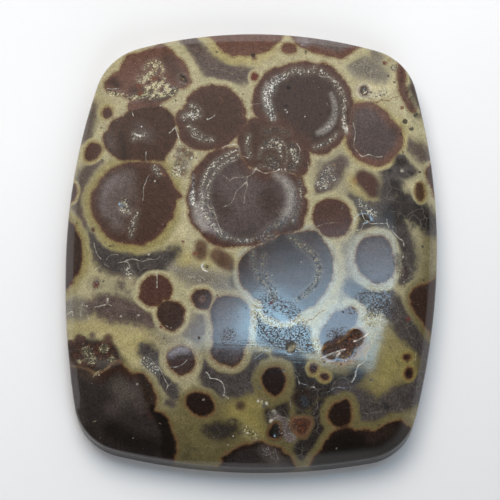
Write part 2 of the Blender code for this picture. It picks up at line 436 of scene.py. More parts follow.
def chain_cover(chain, feather):
    """How far each corner near a chain of soft discs (x, y, radius) is covered, with a feathered edge."""
    discs = places(chain)
    if len(discs) > 1:
        discs = flowing(discs, False, CHAIN_STEP)
    near = near_to(discs, discs[:, 2].max() + feather)
    gaps = np.full(len(near), NOWHERE)
    for x, y, radius in discs:
        gaps = np.minimum(gaps, np.hypot(*(spots[near] - (x, y)).T) - radius)
    return near, ease(CHAIN_SPREAD - gaps / feather)


def dye(colours, near, name, share):
    """Move the colours of some corners towards a tint."""
    colours[near] += (tint(name) - colours[near]) * share[:, None]


def wash(name, strength, feather, *chains):
    """Tint the ground mass along soft chains."""
    for chain in chains:
        near, cover = chain_cover(chain, feather)
        dye(ground, near, name, strength * cover)


def cloud(name, strength, feather, *chains):
    """Let smoky quartz into the ground mass along soft chains."""
    for chain in chains:
        near, cover = chain_cover(chain, feather)
        dye(smoke_tint, near, name, np.clip(cover * 2, 0, 1))
        smoke[near] = np.maximum(smoke[near], strength * cover)


ground = np.tile(tint("cream"), (len(corners), 1))
smoke = np.zeros(len(corners))
smoke_tint = np.tile(tint("smoke"), (len(corners), 1))
for patch in GROUND_WASHES.values():
    wash(*patch)
for patch in SMOKE_CLOUDS.values():
    cloud(*patch)

# The orbs. Balls of dark hematite-stained jasper grew in the ground mass, each with a redder rim
# and a pale halo. The grinding wheel cut them at all heights, so some show as rings and some as dots.
ORB_SINK = 1.0
ORB_ROUNDNESS = 0.8
HALO_STRENGTH = 0.75
RAYS_ROUND_AN_ORB = 5
RINGS_PER_PIXEL = 0.06
OVAL_POINTS = 24
CURVE_STEP = 1.2
# Each orb is its rim, its core, the rim's depth, its halo, the halo's reach and its outline, or the
# middle, half axes and lean of an oval.
ORBS = {
    "vug orb": ("russet", "russet", 6, "cream", 10, "160,44 168,47 175,53 184,63 188,69 190,76 192,82"
        " 189,86 184,88 179,89 176,95 168,99.5 162,103 158,108 145,111 131,111 128,106 129,101 127,99"
        " 121,96 114,94 109,92 105,90 104,87 105,83 107,79 110,77 113,74 119,71 121,67 123,63 124,59"
        " 126,56 130,54 138,53 146,50 153,47"),
    "bead": ("maroon", "maroon", 3, "straw", 4, "107,113,5,6,25"),
    "twin orb": ("cocoa", "cocoa", 6, "cream", 8, "140,106 131,110 125,113.5 120,117 115,119 111,122"
        " 109,126 108,130 104,134 103,139 104,144 106,148 108,151 111,154 115,157 119,159.5 130,160.5"
        " 145,161.2 158,161 164,162 166,157 170,152 173,147 177,141 178,135 176,126 174.5,119 172,114"
        " 168,110.5 163,107.5 159,105 150,104"),
    "plum stone": ("maroon", "maroon", 4, "straw", 4,
        "94,142 99,144 101,148 100.5,152 98,157 93,160.5 88,161 85,159.5 84,156 85,151 87,147 90,143"),
    "left bead": ("maroon", "umber", 4, "straw", 3, "66,183 74,183 77,188 77,193 75,199 72,202 64,204"),
    "sparkling orb": ("maroon", "cocoa", 8, "cream", 7, "211,84 206,85.5 201,87 197,90 193,92 189,96"
        " 187,99 187,103 184,105 182.5,107 184,109 181,110 178,112 176,116 175.5,120 177,127 179,133"
        " 180,139 184,143 189,147 195,149.5 203,150.5 212,150 220,148.5 228,145 234,140 241,132 247,124"
        " 246,114 245,108 243,103 240,98 236,94 232,90 228,87.5 223,86.5 217,86"),
    "top orb": ("russet", "russet", 5, "straw", 8, "206,30 210,36.5 214,40 217,45 220,49 224,52"
        " 228,54.5 231,56.5 234,57 237,55.5 240,55 246,56 251,56 253,59 256,59 256,55 262,53.5 266,52"
        " 269,50 273,47 277,43 280,40 283,35 284,28 245,18"),
    "red bead": ("brick", "brick", 2, "ivory", 3, "255,76.5,4.3,4.3,0"),
    "top bead": ("russet", "russet", 3, "cream", 5, "289,48.5,7.7,5.6,5"),
    "top right orb": ("russet", "mauve", 8, "cream", 8, "286,28 291,36 293,39 297,44 301,47.5 306,49.5"
        " 311,51.5 316,53.5 321,55 326,56 331,57 336,58 341,58.5 345,57 348,55 352,53 356,50 359,48"
        " 364,45 366,36 330,20"),
    "ringed orb": ("maroon", "walnut", 12, "cream", 7, "307,61 312,62 315,63.5 318,63.5 322,62.5 327,63"
        " 331,66 335,69.5 338,73 342,77 345,81 348,86 350,91 352,97 353.5,103 354,108 352,114 350,124"
        " 346,134 343,139 340,142 337,146 333,149 328,153 322,154.5 315,154 310,152 300,145 289,136"
        " 277,125 264,121 258,118.5 255,115 252.5,110 252,104 252.5,97 254,91 256,86 259,81 262,77"
        " 265,73 269,71 272,68.5 276,67 281,66.5 285,64.5 293,63 302,61.5"),
    "shoulder orb": ("russet", "plum", 8, "straw", 5, "354,104 358,103 362,102 367,101.5 372,102"
        " 376,104 380,107 384,110 387,113 390,117 393,121 397,125 400,128 402,131 403,137 402,146"
        " 399,151 395,156 391,160.5 386,164 380,166 375,166 368,164 361,161 355,157 350,151 347,146"
        " 346,140 345,130 347,116 350,108"),
    "edge band": ("russet", "maroon", 4, "cream", 4, "398,63 404,68 406,78 406,85 407,92 410,99 413,105"
        " 416,112 410,112 406,106 402,99 399,92 398,85 397,78"),
    "knot": ("maroon", "cocoa", 7, "cream", 7, "264,119 256,117 250,118 246,124 239,131 237,138 238,146"
        " 240,153 245,161 250,168 256,170 264,174 272,173 280,171 291,173 297,176 302,176 307,172"
        " 310,165 310,158 309,151 300,142 290,134 278,123"),
    "split orb": ("maroon", "cocoa", 6, "hay", 9, "118,165.5 125,163 132,161.8 140,161.8 150,162.5"
        " 158,163 164,168 168,173 171,178 174,185 177,190 181,194 182,197 177,200 176,206 174,212"
        " 173,218 169,222 166,227 162,233 158,237 155,239 149,242 143,245 137,245.5 130,244 122,243.5"
        " 115,242 110,239 105,234 101,229 97,223 94,217 92,212 91,205 91,198 93,192 96,187 99,182"
        " 102,177 107,172 112,168.5"),
    "great orb": ("maroon", "plum", 11, "cream", 7, "212,151 217,150 222,149 228,147.5 234,147 238,149"
        " 240,154 245,161 250,168 257,168.5 264,172 272,171.5 280,169.5 287,170.5 295,175 302,175.5"
        " 304,180 305,186 307,190 305,196 308,200 308,208 306,215 304,221 302,228 296,232 288,234"
        " 281,234 274,238 262,243 254,246 246,246 236,247 228,247.5 220,247 214,245.5 209,242 204,238"
        " 200,233 197,230 193,226 190,221 188,215 189,210 187,203 186,197 188,190 190,182 191,176"
        " 193,170 196,167 200,162 205,157"),
    "round orb": ("maroon", "maroon", 5, "cream", 7, "334,199 340,200 345,203 349,207.5 351,213 352,220"
        " 350,228 346,233 340,236.5 333,237.5 325,235.5 319,231 315,226 313,219 313,212 315,206 320,202"
        " 326,199.5"),
    "right edge bead": ("maroon", "umber", 4, "cream", 4,
        "438,163 430,165 426,170 425.5,176 428,182 431,188 434,196 440,196"),
    "oval orb": ("walnut", "plum", 6, "celadon", 8, "376,235 382,235.5 387,238.5 390,243 392,250"
        " 394,258 395,265 394,272 391,278 386,282 380,283.5 374,283 368,280 362,275 358,268 355,260"
        " 355,253 357,247 360,242 364,238 369,236"),
    "crystal ring orb": ("slate", "walnut", 10, "celadon", 6, "239,262 238,268 239,275 240,281 243,287"
        " 247,291 254,298 262,303 263,310 267,316 275,320 285,321.5 293,319 299,314 306,310 315,305"
        " 320,299 325,292 329,285 332,278 333,270 333,262 332,255 329,249 325,243 321,236 318,232"
        " 312,230 301,231 292,233 282,233 270,240 258,245 250,250 243,256"),
    "blue orb": ("plum", "plum", 6, "celadon", 8, "350,307 340,310 333,313 329,320 325,325 321,330"
        " 319,337 320,343 325,346 333,345 339,341 345,336 350,330 355,325 358,315 355,309"),
    "left edge orb": ("garnet", "umber", 5, "hay", 8, "60,220 72,223 75,226 76,230 79,234 81,239"
        " 81.5,245 82,252 82.5,258 81.5,264 80,270 78,274 74,278 73,282 70,285 68,288 58,290"),
    "chestnut": ("maroon", "maroon", 5, "cream", 5, "152,275 158,275 164,276 169,280 172,285 173,291"
        " 171,296 168,300 164,300 162,303 156,306 150,307 146,305 142,302 139,297 140,291 141,285"
        " 144,280 148,277"),
    "chestnut mate": ("umber", "walnut", 5, "cream", 5, "163,301.5 170,301 177,302 182,305 185,310"
        " 185,317 183,323 179,328 173,331 167,330 161,325 158,319 157,313 158,307 161,303"),
    "button": ("walnut", "walnut", 5, "cream", 5,
        "201,289 207,290 211,294 212,300 209,308 203,309.5 197,308 193,304 191,299 192,294 196,290.5"),
    "double orb": ("walnut", "plum", 5, "buff", 7, "213,303 216,299 221,296.5 228,295.5 235,296.5"
        " 241,299 246,303 249,308 250,315 250,322 249,330 249,337 248,343 245,348 244,353 243,358"
        " 241,362 238,365 232,367 225,365.5 219,364 214,360 211,354 211,349 213,343 212,337 213,330"
        " 213,325 211,319 210,312 211,307"),
    "half lit orb": ("umber", "walnut", 4, "buff", 8, "181,345 187,347 192,351 195,357 195,363 193,369"
        " 188,373 182,375.5 176,373.5 171,369 168,364 167,358 169,352 174,348"),
    "corner orb": ("garnet", "shade", 10, "olive", 7, "64,364 72,366 84,368 98,374 110,366 119,361"
        " 126,368 132,373 138,373 144,374 149,380 153,387 156,394 157,400 156,406 155,410 161,412"
        " 165,414 168,418 169,423 171,428 174,434 176,440 177,446 178,452 175,458 172,468 150,480"
        " 100,470 70,440 60,400"),
    "cherry": ("sable", "sable", 4, "olive", 6, "196,391 203,392.5 209,395 213,400 215,405 214,411"
        " 210,414.5 206,417 200,417 194,415 190,410 186,405 186,399 189,394"),
    "bull's eye": ("sable", "sable", 4, "olive", 9, "268,368 275,367 280,368 284,373 286,380 285,387"
        " 281,393 275,396 268,393 264,388 261,381 262,375 265,370"),
    "pip": ("garnet", "garnet", 3, "hay", 4, "313.5,368.5,4.6,5.2,0"),
    "second pip": ("garnet", "garnet", 3, "hay", 4, "324,376.5,5,3.8,20"),
    "right seed": ("garnet", "garnet", 3, "hay", 4, "407,357,4.4,3.6,0"),
    "lower seed": ("garnet", "sable", 3, "hay", 4, "408.5,373,5,6,10"),
    "dark red patch": ("garnet", "garnet", 3, "amber", 3, "322,352 327,346 337,342 345,337 351,331"
        " 357,329 362,331 364,337 361,345 356,353 350,359 342,362 332,360 325,358"),
    "brick patch": ("clay", "clay", 3, "soot", 3,
        "291,424 295,419 303,417 310,418 312,423 309,430 305,437 299,434 294,431 291,428"),
    "grey pit": ("shade", "russet", 3, "bone", 3, "364,91,4.6,5.2,0"),
    "right eye": ("bark", "bark", 3, "hay", 3.5, "420,192,9.4,4.8,84"),
    "black pit": ("ink", "ink", 2, "soot", 3,
        "268,433 270,427 274,423 279,424 281,430 281,437 275,439 269,437"),
    "acorn": ("sable", "sable", 4, "olive", 8, "333,404 329,409 327.5,415 329,421 333,426 340,428"
        " 347,425.5 351,420 352,413 351,405 349,400 345,399 341,401"),
    "lower right orb": ("sable", "ink", 6, "olive", 7, "312,459 318,452 322,446 326,439 331,433 338,429"
        " 345,426.5 352,428 357,430 362,430 368,429.5 374,431 379,428 384,425 390,422 397,420 403,421"
        " 407,424 420,440 400,462 350,474 310,474"),
    "bottom orb": ("sable", "shade", 6, "olive", 5, "222,462 220,459 224,455 229,452 236,448 241,445.5"
        " 247,443.5 252,443 256,440 262,441 268,444 275,446 281,448 285,452 290,456 294,462 296,470"
        " 280,480 235,480 216,472"),
    "right edge orb": ("garnet", "garnet", 5, "olive", 7, "438,280 430,282 423,284 417,286 412,290"
        " 410,296 410,302 412,308 416,315 421,321 427,330 436,338 444,320"),
}
outside = np.full(len(corners), NOWHERE)
orb_tint = np.tile(tint("maroon"), (len(corners), 1))
orb_number = np.full(len(corners), -1)
fibre = np.zeros((len(corners), 3))
orb_names = list(ORBS)


def edge_gap(outline, near):
    """Distance of corners from a closed outline, negative inside it."""
    here = spots[near]
    gaps = np.full(len(near), NOWHERE)
    inside = np.zeros(len(near), bool)
    for start, end in zip(outline, np.roll(outline, -1, axis=0)):
        run = end - start
        along = np.clip((here - start) @ run / (run @ run), 0, 1)
        gaps = np.minimum(gaps, np.hypot(*(here - start - along[:, None] * run).T))
        crossing = (here[:, 1] < start[1]) != (here[:, 1] < end[1])
        if run[1]:
            inside ^= crossing & (here[:, 0] < start[0] + (here[:, 1] - start[1]) * run[0] / run[1])
    return np.where(inside, -gaps, gaps)


def oval(x, y, half_wide, half_high, lean):
    """Points round an oval that leans by some degrees."""
    turn = np.linspace(0, math.tau, OVAL_POINTS, endpoint=False)
    ring = (half_wide * np.cos(turn) + 1j * half_high * np.sin(turn)) * np.exp(1j * math.radians(lean))
    return np.c_[x + ring.real, y + ring.imag]


def grow_orb(number, rim, core, rim_depth, halo, halo_reach, outline):
    """Grow one orb: its rim, core and halo round the outline, smaller the deeper the stone is cut."""
    outline = places(outline)
    if len(outline) == 1:
        outline = oval(*outline[0])
    outline = flowing(outline, True, CURVE_STEP)
    near = near_to(outline, halo_reach + 8)
    middle = (outline.min(0) + outline.max(0)) / 2
    size = np.hypot(*(outline.max(0) - outline.min(0))) / 2.83
    depth = np.minimum(below_face[near] / size, ORB_SINK)
    gap = edge_gap(outline, near) + size * (1 - np.sqrt(1 - ORB_ROUNDNESS * depth ** 2))
    smoke[near] *= ease((gap / halo_reach - 0.45) * 1.1)
    dye(ground, near, halo, HALO_STRENGTH * ease(1.4 - gap / halo_reach))
    closer = gap < outside[near]
    near, gap = near[closer], gap[closer]
    outside[near] = gap
    orb_tint[near] = tint(rim) + (tint(core) - tint(rim)) * ease(-gap / rim_depth - 0.35)[:, None]
    away = spots[near] - middle
    distance = np.hypot(*away.T)
    rays = away / (distance[:, None] + 2) * RAYS_ROUND_AN_ORB
    fibre[near] = np.c_[rays, distance * RINGS_PER_PIXEL + 7 * number]
    orb_number[near] = number


for number, orb in enumerate(ORBS.values()):
    grow_orb(number, *orb)

# The shading of the orbs. Iron and clay settled unevenly while the orbs grew, which left paler and
# darker clouds and rings inside them; a few patches below are painted light instead, as marked.
ORB_SHADES = {
    "vug orb": [
        ("sable", 0.7, 8, "113,82,4 117,85,3", "142,92,2 160,98,2 172,94,2"),
        ("umber", 0.9, 8, "134,92,3 150,95,4 168,94,4 176,90,3"),
        ("mauve", 0.5, 10, "170,60,3 178,72,3 182,84,2"),
        ("cocoa", 0.7, 12, "168,60,6 176,72,6", "136,92,4 150,100,5"),
    ],
    "twin orb": [
        ("mauve", 0.45, 14, "140,128,5 148,136,5", "108,136,2 112,146,2"),
        ("sable", 0.5, 8, "122,136,3 123,150,3 124,156,2"),
    ],
    "top right orb": [
        ("lilac", 0.6, 8, "298,39,2 306,43,3"),
    ],
    "shoulder orb": [
        ("mauve", 0.35, 16, "368,116,8"),
        ("walnut", 0.6, 6, "350,141,2 352,150,3"),
        ("sable", 0.5, 8, "394,130,4 397,136,2"),
    ],
    "split orb": [
        ("mauve", 0.9, 18, "108,190,5 114,184,6 126,178,6", "106,202,4 112,214,4 118,224,4"),
        ("mauve", 0.55, 18, "122,196,14"),
        ("lilac", 0.3, 10, "104,196,1 108,186,1 116,178,1", "102,206,1 106,214,1"),
    ],
    "great orb": [
        ("lilac", 0.6, 8, "202,190,1 203,206,1 208,218,2 216,230,2 226,236,1",
         "198,206,2 202,220,3 210,230,2"),
        ("umber", 0.6, 10, "228,172,4 240,168,4", "216,196,4 224,210,6", "266,200,10"),
        ("mauve", 0.35, 24, "238,182,14 244,200,12"),
        ("pearl", 0.7, 10, "276,175,1 285,181,2 290,190,3 291,201,3 288,211,3 282,219,2",
         "196,207,2 198,217,3 204,227,2"),
        ("umber", 0.5, 12, "270,195,8 272,210,6"),
        ("slate", 0.6, 10, "255,230,5 240,238,5 225,236,5", "280,222,5 292,224,5"),
    ],
    "ringed orb": [
        ("pearl", 0.7, 6, "318,133,1 326,129,2 332,122,2 335,112,1 334,102,1 331,94,0",
         "267,84,1 265,94,2 268,106,2"),
        ("mauve", 0.3, 10, "268,84,2 264,94,3 266,106,3 270,116,2", "290,72,2 302,70,2"),
    ],
    "crystal ring orb": [
        ("umber", 0.9, 16, "270,250,8 285,252,10", "246,262,5 246,276,5"),
        ("shade", 0.6, 14, "280,246,9 292,256,10", "236,252,4 244,250,4"),
    ],
    "double orb": [
        # partly the lower lobe's own darker colour and partly painted shade
        ("shade", 0.6, 12, "224,357,7"),
    ],
    "half lit orb": [
        ("lilac", 0.7, 7, "171,354,2 178,350,3 187,350,2"),
    ],
    "corner orb": [
        # painted reflection: this pale mauve patch stands for a soft reflection over the orb's upper middle
        ("mauve", 0.3, 22, "122,390,6 134,392,6 140,404,4", "112,410,3"),
        ("ink", 0.8, 14, "112,430,8 130,440,8 150,446,8", "164,440,3 166,452,4"),
        ("char", 1, 5, "142,377,3 147,388,5 150,398,5"),
        ("ink", 1, 6, "152,408,3 162,420,6 168,434,6 168,450,7"),
        # painted reflection: the faint mist over the orb's upper middle, with a small patch at its left
        ("mist", 0.12, 12, "118,386,8 126,394,9 122,402,6", "84,374,4 92,376,4"),
        ("slate", 0.5, 10, "72,380,4 76,400,4 82,420,4"),
    ],
    "button": [
        ("tawny", 1, 5, "202,299,2"),
    ],
    "bottom orb": [
        ("smoke", 0.55, 14, "268,452,5 276,458,5"),
    ],
    "lower right orb": [
        ("umber", 0.4, 12, "390,430,5 372,438,5"),
    ],
}
for name, shades in ORB_SHADES.items():
    for colour, strength, feather, *chains in shades:
        for chain in chains:
            near, cover = chain_cover(chain, feather)
            dye(orb_tint, near, colour, strength * cover * (orb_number[near] == orb_names.index(name)))

# The druses. Some orbs cracked while they grew and the gaps filled with tiny quartz crystals, which
# glitter as broken rings and patches between the rim and the core.
FROST_SPREAD = 5
CRYSTALS = {
    "pocket of the vug orb": ("ivory", 1, 3, "155,66,2 153,72,2 146,77,3",
        "146,88,2 152,86,2 158,84,3 162,82,2", "166,86,3 168,92,2 162,95,2 156,93,3", "140,82,1 138,78,1",
        "145,68,1 150,63,1 158,62,1 163,70,1"),
    "near side of the pocket": ("ivory", 0.9, 3, "131,98,2 138,97,2 148,94,2 156,98,1",
        "108,92,1 114,94,2 122,95,1", "176,90,2 172,94,2"),
    "crumbs left of the knot": ("russet", 0.8, 6, "180,150,4 188,155,5", "178,166,4 184,172,3"),
    "top right patch": ("sand", 0.2, 8, "356,64,6 372,72,6"),
    "gap left of the knot": ("sand", 0.5, 8, "182,160,5"),
    "streaks by the shoulder orb": ("bone", 0.6, 6, "370,98,2 384,92,2", "176,172,4"),
    "moss in the vug orb": ("moss", 0.8, 4, "182,78,3 186,80,2"),
    "star in the twin orb": ("bone", 0.8, 5, "134,134,1 140,136,2 144,134,1", "134,139,1"),
    "sparkling orb": ("bone", 0.7, 6, "184,116,2 190,115,3 198,114,3",
        "189,126,1 193,130,2 200,137,2 212,140,1", "192,106,2 198,110,2"),
    "left arc of the ringed orb": ("chalk", 0.7, 5,
        "284,76,2 276,80,3 270,90,4 267,98,3 269,108,3 273,118,2"),
    "top arc of the ringed orb": ("bone", 0.62, 5, "286,74,2 296,70,2 304,72,2 313,70,2",
        "321,72,2 330,78,1 338,86,2 343,98,2 344,108,2"),
    "inner line of the ringed orb": ("pearl", 0.6, 4,
        "332,94,0.5 335,104,0.5 335,114,1 330,124,2 322,131,1"),
    "near arc of the ringed orb": ("bone", 0.7, 4, "315,147,1 322,145,1 331,140,1 337,134,1"),
    "right rim of the ringed orb": ("bone", 0.9, 4, "342,108,0.5 344,116,1 345,126,2 346,132,1"),
    "moss by the ringed orb": ("moss", 0.5, 5, "350,112,2 351,122,2"),
    "loops in the knot": ("bone", 0.6, 3,
        "259,157,0.5 262,148,0.5 268,141,0.5 276,138,0.5 283,142,0.5 287,150,0.5 287,158,0.5 284,166,0.5",
        "254,170,0.5 262,166,0.5 270,168,0.5 280,170,0.5 288,172,0.5"),
    "haze in the knot": ("mist", 0.6, 5, "293,146,2 297,158,3 292,168,3", "270,160,4 276,164,4",
        "264,132,1 276,130,1 288,133,1"),
    "strings in the knot": ("bone", 0.7, 4, "266,143,1 274,141,1 281,146,1",
        "249,136,1 247,146,1 250,156,1", "262,148,1 268,146,1 278,148,1 281,156,1", "292,150,2 296,160,2"),
    "inner ring of the great orb": ("bone", 1.0, 4, "238,156,0.5 229,160,0.5 221,166,0.5 215,173,0.5"
        " 210,181,0.5 208,190,0.5 208,200,0.5 210,209,0.5 215,217,0.5"),
    "outer ring of the great orb": ("bone", 1.0, 4, "238,150,0.5 230,153,0.8 221,158,0.5 214,164,0.8"
        " 208,171,0.5 204,180,0.5 202,190,0.8 202,200,0.8 204,210,1 208,219,1"),
    "left edge of the great orb": ("chalk", 0.9, 3, "193,176,0.5 193,186,0.5 192,195,2 192,203,2"),
    "near ring of the great orb": ("bone", 0.55, 5,
        "206,216,2 213,226,2 221,234,2 230,238,1 242,241,1 252,240,1"),
    "seam under the great orb": ("mist", 0.7, 5, "258,238,1 266,232,2 275,226,3 284,222,2",
        "262,240,2 272,236,2"),
    "sheen of the great orb": ("lilac", 0.45, 5, "288,182,1 294,192,1 295,204,1 291,214,1 284,221,2"),
    "right rim of the great orb": ("bone", 0.4, 5, "300,182,1 301,196,1 299,208,1 294,220,2"),
    "right string of the crystal ring orb": ("sand", 0.8, 4,
        "290,235,1 299,244,2 309,251,2 316,259,2 319,270,2 315,284,2 306,293,2 297,300,1"),
    "left strings of the crystal ring orb": ("sand", 0.7, 4,
        "252,252,1 254,266,1 260,278,2 268,289,2 274,298,2", "264,256,1 263,268,1 268,280,1 276,292,1"),
    "split orb": ("bone", 0.6, 5, "125,202,3 124,208,4 128,212,2", "155,168,2 159,173,2",
        "137,212,1 133,224,2 131,236,1"),
    "patch under the ringed orb": ("bone", 0.7, 6, "322,181,3 325,186,3 317,183,1",
        "330,169,2 324,175,2 335,180,2"),
    "small pockets": ("bone", 0.6, 5, "358,201,2 366,209,3 374,214,3", "394,68,3", "364,91,3",
        "127,270,3 131,275,1"),
    "dark red patch": ("rust", 0.7, 4, "350,340,3 360,336,2", "330,352,2 342,350,4 352,344,4", "96,285,3"),
    "edge of the dark red patch": ("amber", 0.6, 4, "344,359,2 352,354,3 358,348,2"),
    "crumbly zone": ("rust", 0.5, 5, "73,345,5 80,342,5 88,350,7 98,352,8 108,348,6 112,356,6",
        "76,358,6 90,362,6"),
    "pale crumbs": ("cream", 0.3, 5, "86,350,3 92,360,3", "104,348,3", "112,360,3"),
    "smoky glitter": ("smoke", 0.7, 6, "372,312,5 384,306,5 392,316,5", "398,258,4 404,272,5",
        "410,90,4 416,104,4"),
    "lilac patch": ("lilac", 0.35, 5, "284,430,7"),
    "bottom orb": ("mist", 0.4, 5, "264,450,3 272,456,4"),
    "band over the corner orb": ("bone", 0.5, 6, "146,362,5 154,370,4", "316,66,1"),
    "brick patch": ("rust", 0.55, 4, "297,422,3 304,424,5 301,431,3"),
    "gaps by the near edge": ("cream", 0.6, 5, "247,430,3 255,436,3", "262,402,2"),
}
druse = np.zeros(len(corners))
frost = np.zeros(len(corners))
druse_tint = np.tile(tint("bone"), (len(corners), 1))


def sow_crystals(name, strength, feather, *chains):
    """Sow fine crystals along soft chains."""
    for chain in chains:
        near, cover = chain_cover(chain, feather)
        dye(druse_tint, near, name, ease(cover * 3))
        druse[near] = np.maximum(druse[near], strength * cover)
        near, cover = chain_cover(chain, feather + FROST_SPREAD)
        frost[near] = np.maximum(frost[near], strength * cover)


for patch in CRYSTALS.values():
    sow_crystals(*patch)

# The veins. Healed cracks run through ground and orbs as white, cream or rusty hairlines, and open
# ones show dark, while the white crescent is a painted highlight. Flecks of red, black and white
# mineral lie scattered between them.
MARK_REACH = 5.0
FLECK_GROWTH = 1.25
# Veins and cracks are a tint, a half-width, a strength and lines.
VEINS = {
    "hairs of the far left orbs": ("chalk", 0.43, 0.7, "107,88.5 113,89 120,88.5", "132,112 133.5,116",
        "146,152 146,160 148,163", "169,133 172,131 175,127 177,133 179,139 180,146",
        "209,119 212,117.5 215,115"),
    "hairs of the far orbs": ("bone", 0.43, 0.6, "189,126 191,128 197,129", "191,134 193,137 200,139",
        "209,140 214,141", "250,104.5 260,103.5", "326.5,102.5 328,105",
        "319,75 322,77 327,77 332,79 337,82 340,88", "308,162 308.5,170"),
    "shoulder orb": ("bone", 0.5, 0.75, "353,122 355,130 355,136 354,142 354,147 357,151 360,155"
        " 363,156.5 368,154.5 372,155.5 377,157 383,156.5"),
    "seam of knot and great orb": ("bone", 0.5, 0.8,
        "222,148 227,145.5 233,144.5 238,145 239,148 240,153", "243,156 248,158",
        "256,169 264,173 270,172.5 276,171 280,169", "297,144 300,149 299,155"),
    "split orb": ("chalk", 0.43, 0.7, "150,174 147,178 146,182 144,186 143.5,190 143.5,196 142.5,201",
        "134,222 133,226", "131.5,232 131,236"),
    "branches in the great orb": ("bone", 0.43, 0.6,
        "223,175 227,178 230,180 234,177.5 239,177.5 249,176 255,171",
        "246,182 241,187 236,192 234,198 230,204 223,207", "247,178 247,187 245,193 244,203",
        "213,205 216,218 219,226 222,234", "200,181 204,181", "208,192 208,199", "236,160 230,162"),
    "round orb and top arc": ("sand", 0.43, 0.7, "316,227 324,224 335,222.5 338,223",
        "211,68 213,69 217,67.5 221,69 226,71 230,73 233,75", "233,73 237,71 242,70 244,68",
        "237,78 240,80", "241,81 242.5,84 244,87"),
    "patch under the ringed orb": ("mist", 0.43, 0.8, "343,204 342,209",
        "322,180 328,180 328,184 325,188", "331,167 326,174", "321,169 325,174", "338,150 338,157"),
    "right of the round orb": ("bone", 0.5, 0.85,
        "361,210 363,216 365,220 368,221 371,223.5 377,223.5 386,223.5", "364,223 362,227 361,230",
        "387,219 387,223 389,228", "392,230 394,233 397,236 399,238.5 403,241 404,246"),
    "right of the oval orb": ("sand", 0.43, 0.7, "398,257 397,264 397,272", "409,268 412,270",
        "401,289 397,292 393,297 392,302", "404,251 403,257"),
    "net under the split orb": ("bone", 0.43, 0.7, "101,259 97,254 95,248 94,243",
        "106,260 109,256 113,254.5 118,254.5", "100,266 96,269 93,272", "118,263 122,262 127,262 130,266",
        "126,260 133,259 140,261", "142,262 147,260 157,259 160,256", "104,264 109,267"),
    "right of the split orb": ("cream", 0.65, 0.8, "176,231 172,236 169.5,240 169,244 165,246 162,250"),
    "left edge": ("bone", 0.5, 0.85, "67,315 72,311 73,316", "82,302 83,306", "80,310 81,316",
        "87,315 89,319", "95,307 104,305 108,303 108,298", "108,304 112,306", "107,295 107,303",
        "157,270 157,288"),
    "half lit orb": ("bone", 0.43, 0.6, "157,320 160,323", "165,325 168,327",
        "170,367 176,367 183,364 187,360", "152,361 160,369 165,380 168,385 166,390"),
    "dark arc": ("bone", 0.5, 0.75, "206,372 209,375 210,378 214,378.5 219,380 223,384 225,392"),
    "dark band": ("mist", 0.43, 0.7, "297,376 299,381", "300,383 307,385",
        "321,394 328,392 334,388 337,387 345,388", "290,400 291,412", "316,400 318,406 313,415",
        "363,412 368,414 372,412.5 376,411.5", "253,360 261,354 267,350 275,348.5 283,350 290,354 294,357"),
    "edge of the yellow field": ("bone", 0.85, 0.85, "380,322 379,330 377,332 373,336.5 372,340 371,345"
        " 368,350 366,355 365,360 362,363 358,366 356,372 355,377 352,382"),
    "dark red patch": ("chalk", 0.9, 0.85, "321,358 328,355 335,352 345,349",
        "354,341 360,339 365,336 371,331", "340,353 336,358"),
    "over the crystal patch": ("mist", 0.6, 0.8, "273,420 278,417 285,417.5 290,421"),
    # painted highlight: the white crescent is the lit rim of the crescent pit
    "white crescent": ("chalk", 0.79, 0.9, "203,264 202,267 204,270 207,271.5"),
    "stray hairs": ("cream", 0.58, 0.7, "416,352 415,360", "93,422 96,421", "159.5,423 161,424",
        "100,370 96,373 93,377", "110,366 104,370"),
    "bottom orb": ("lilac", 0.58, 0.6, "262,446 266,456", "268,447 272,458", "275,449 278,459"),
}
CRACKS = {
    "rusty hairs at the top": ("rust", 0.48, 0.8,
        "376,103 379,101.5 383,100 385,100 389,101 391,99 395,97 400,97", "220,97 223,101 220,104",
        "242,100 243,118"),
    "brown net under the crystal ring orb": ("umber", 0.34, 0.8, "253,306 258,306",
        "254,313 257,318 261,327 265,333 269,337 275,337 280,339 286,340 292,341 296,339 299,334 300,330",
        "269,341 273,345 278,347 283,348", "358,294 365,293 372,293 378,293 385,298",
        "378,310 385,306 388,301"),
    "edge of the blue orb": ("rust", 0.4, 0.7, "305,329 306,323 309,320 313,319 317,315 320,312 325,310"),
    "black hairs": ("ink", 0.48, 0.7, "396,360 399,366", "124,148 124,158", "287,345 286,349 288,353",
        "150,182 153,178 155,174", "391,69 393,64", "395,70 397,65"),
}
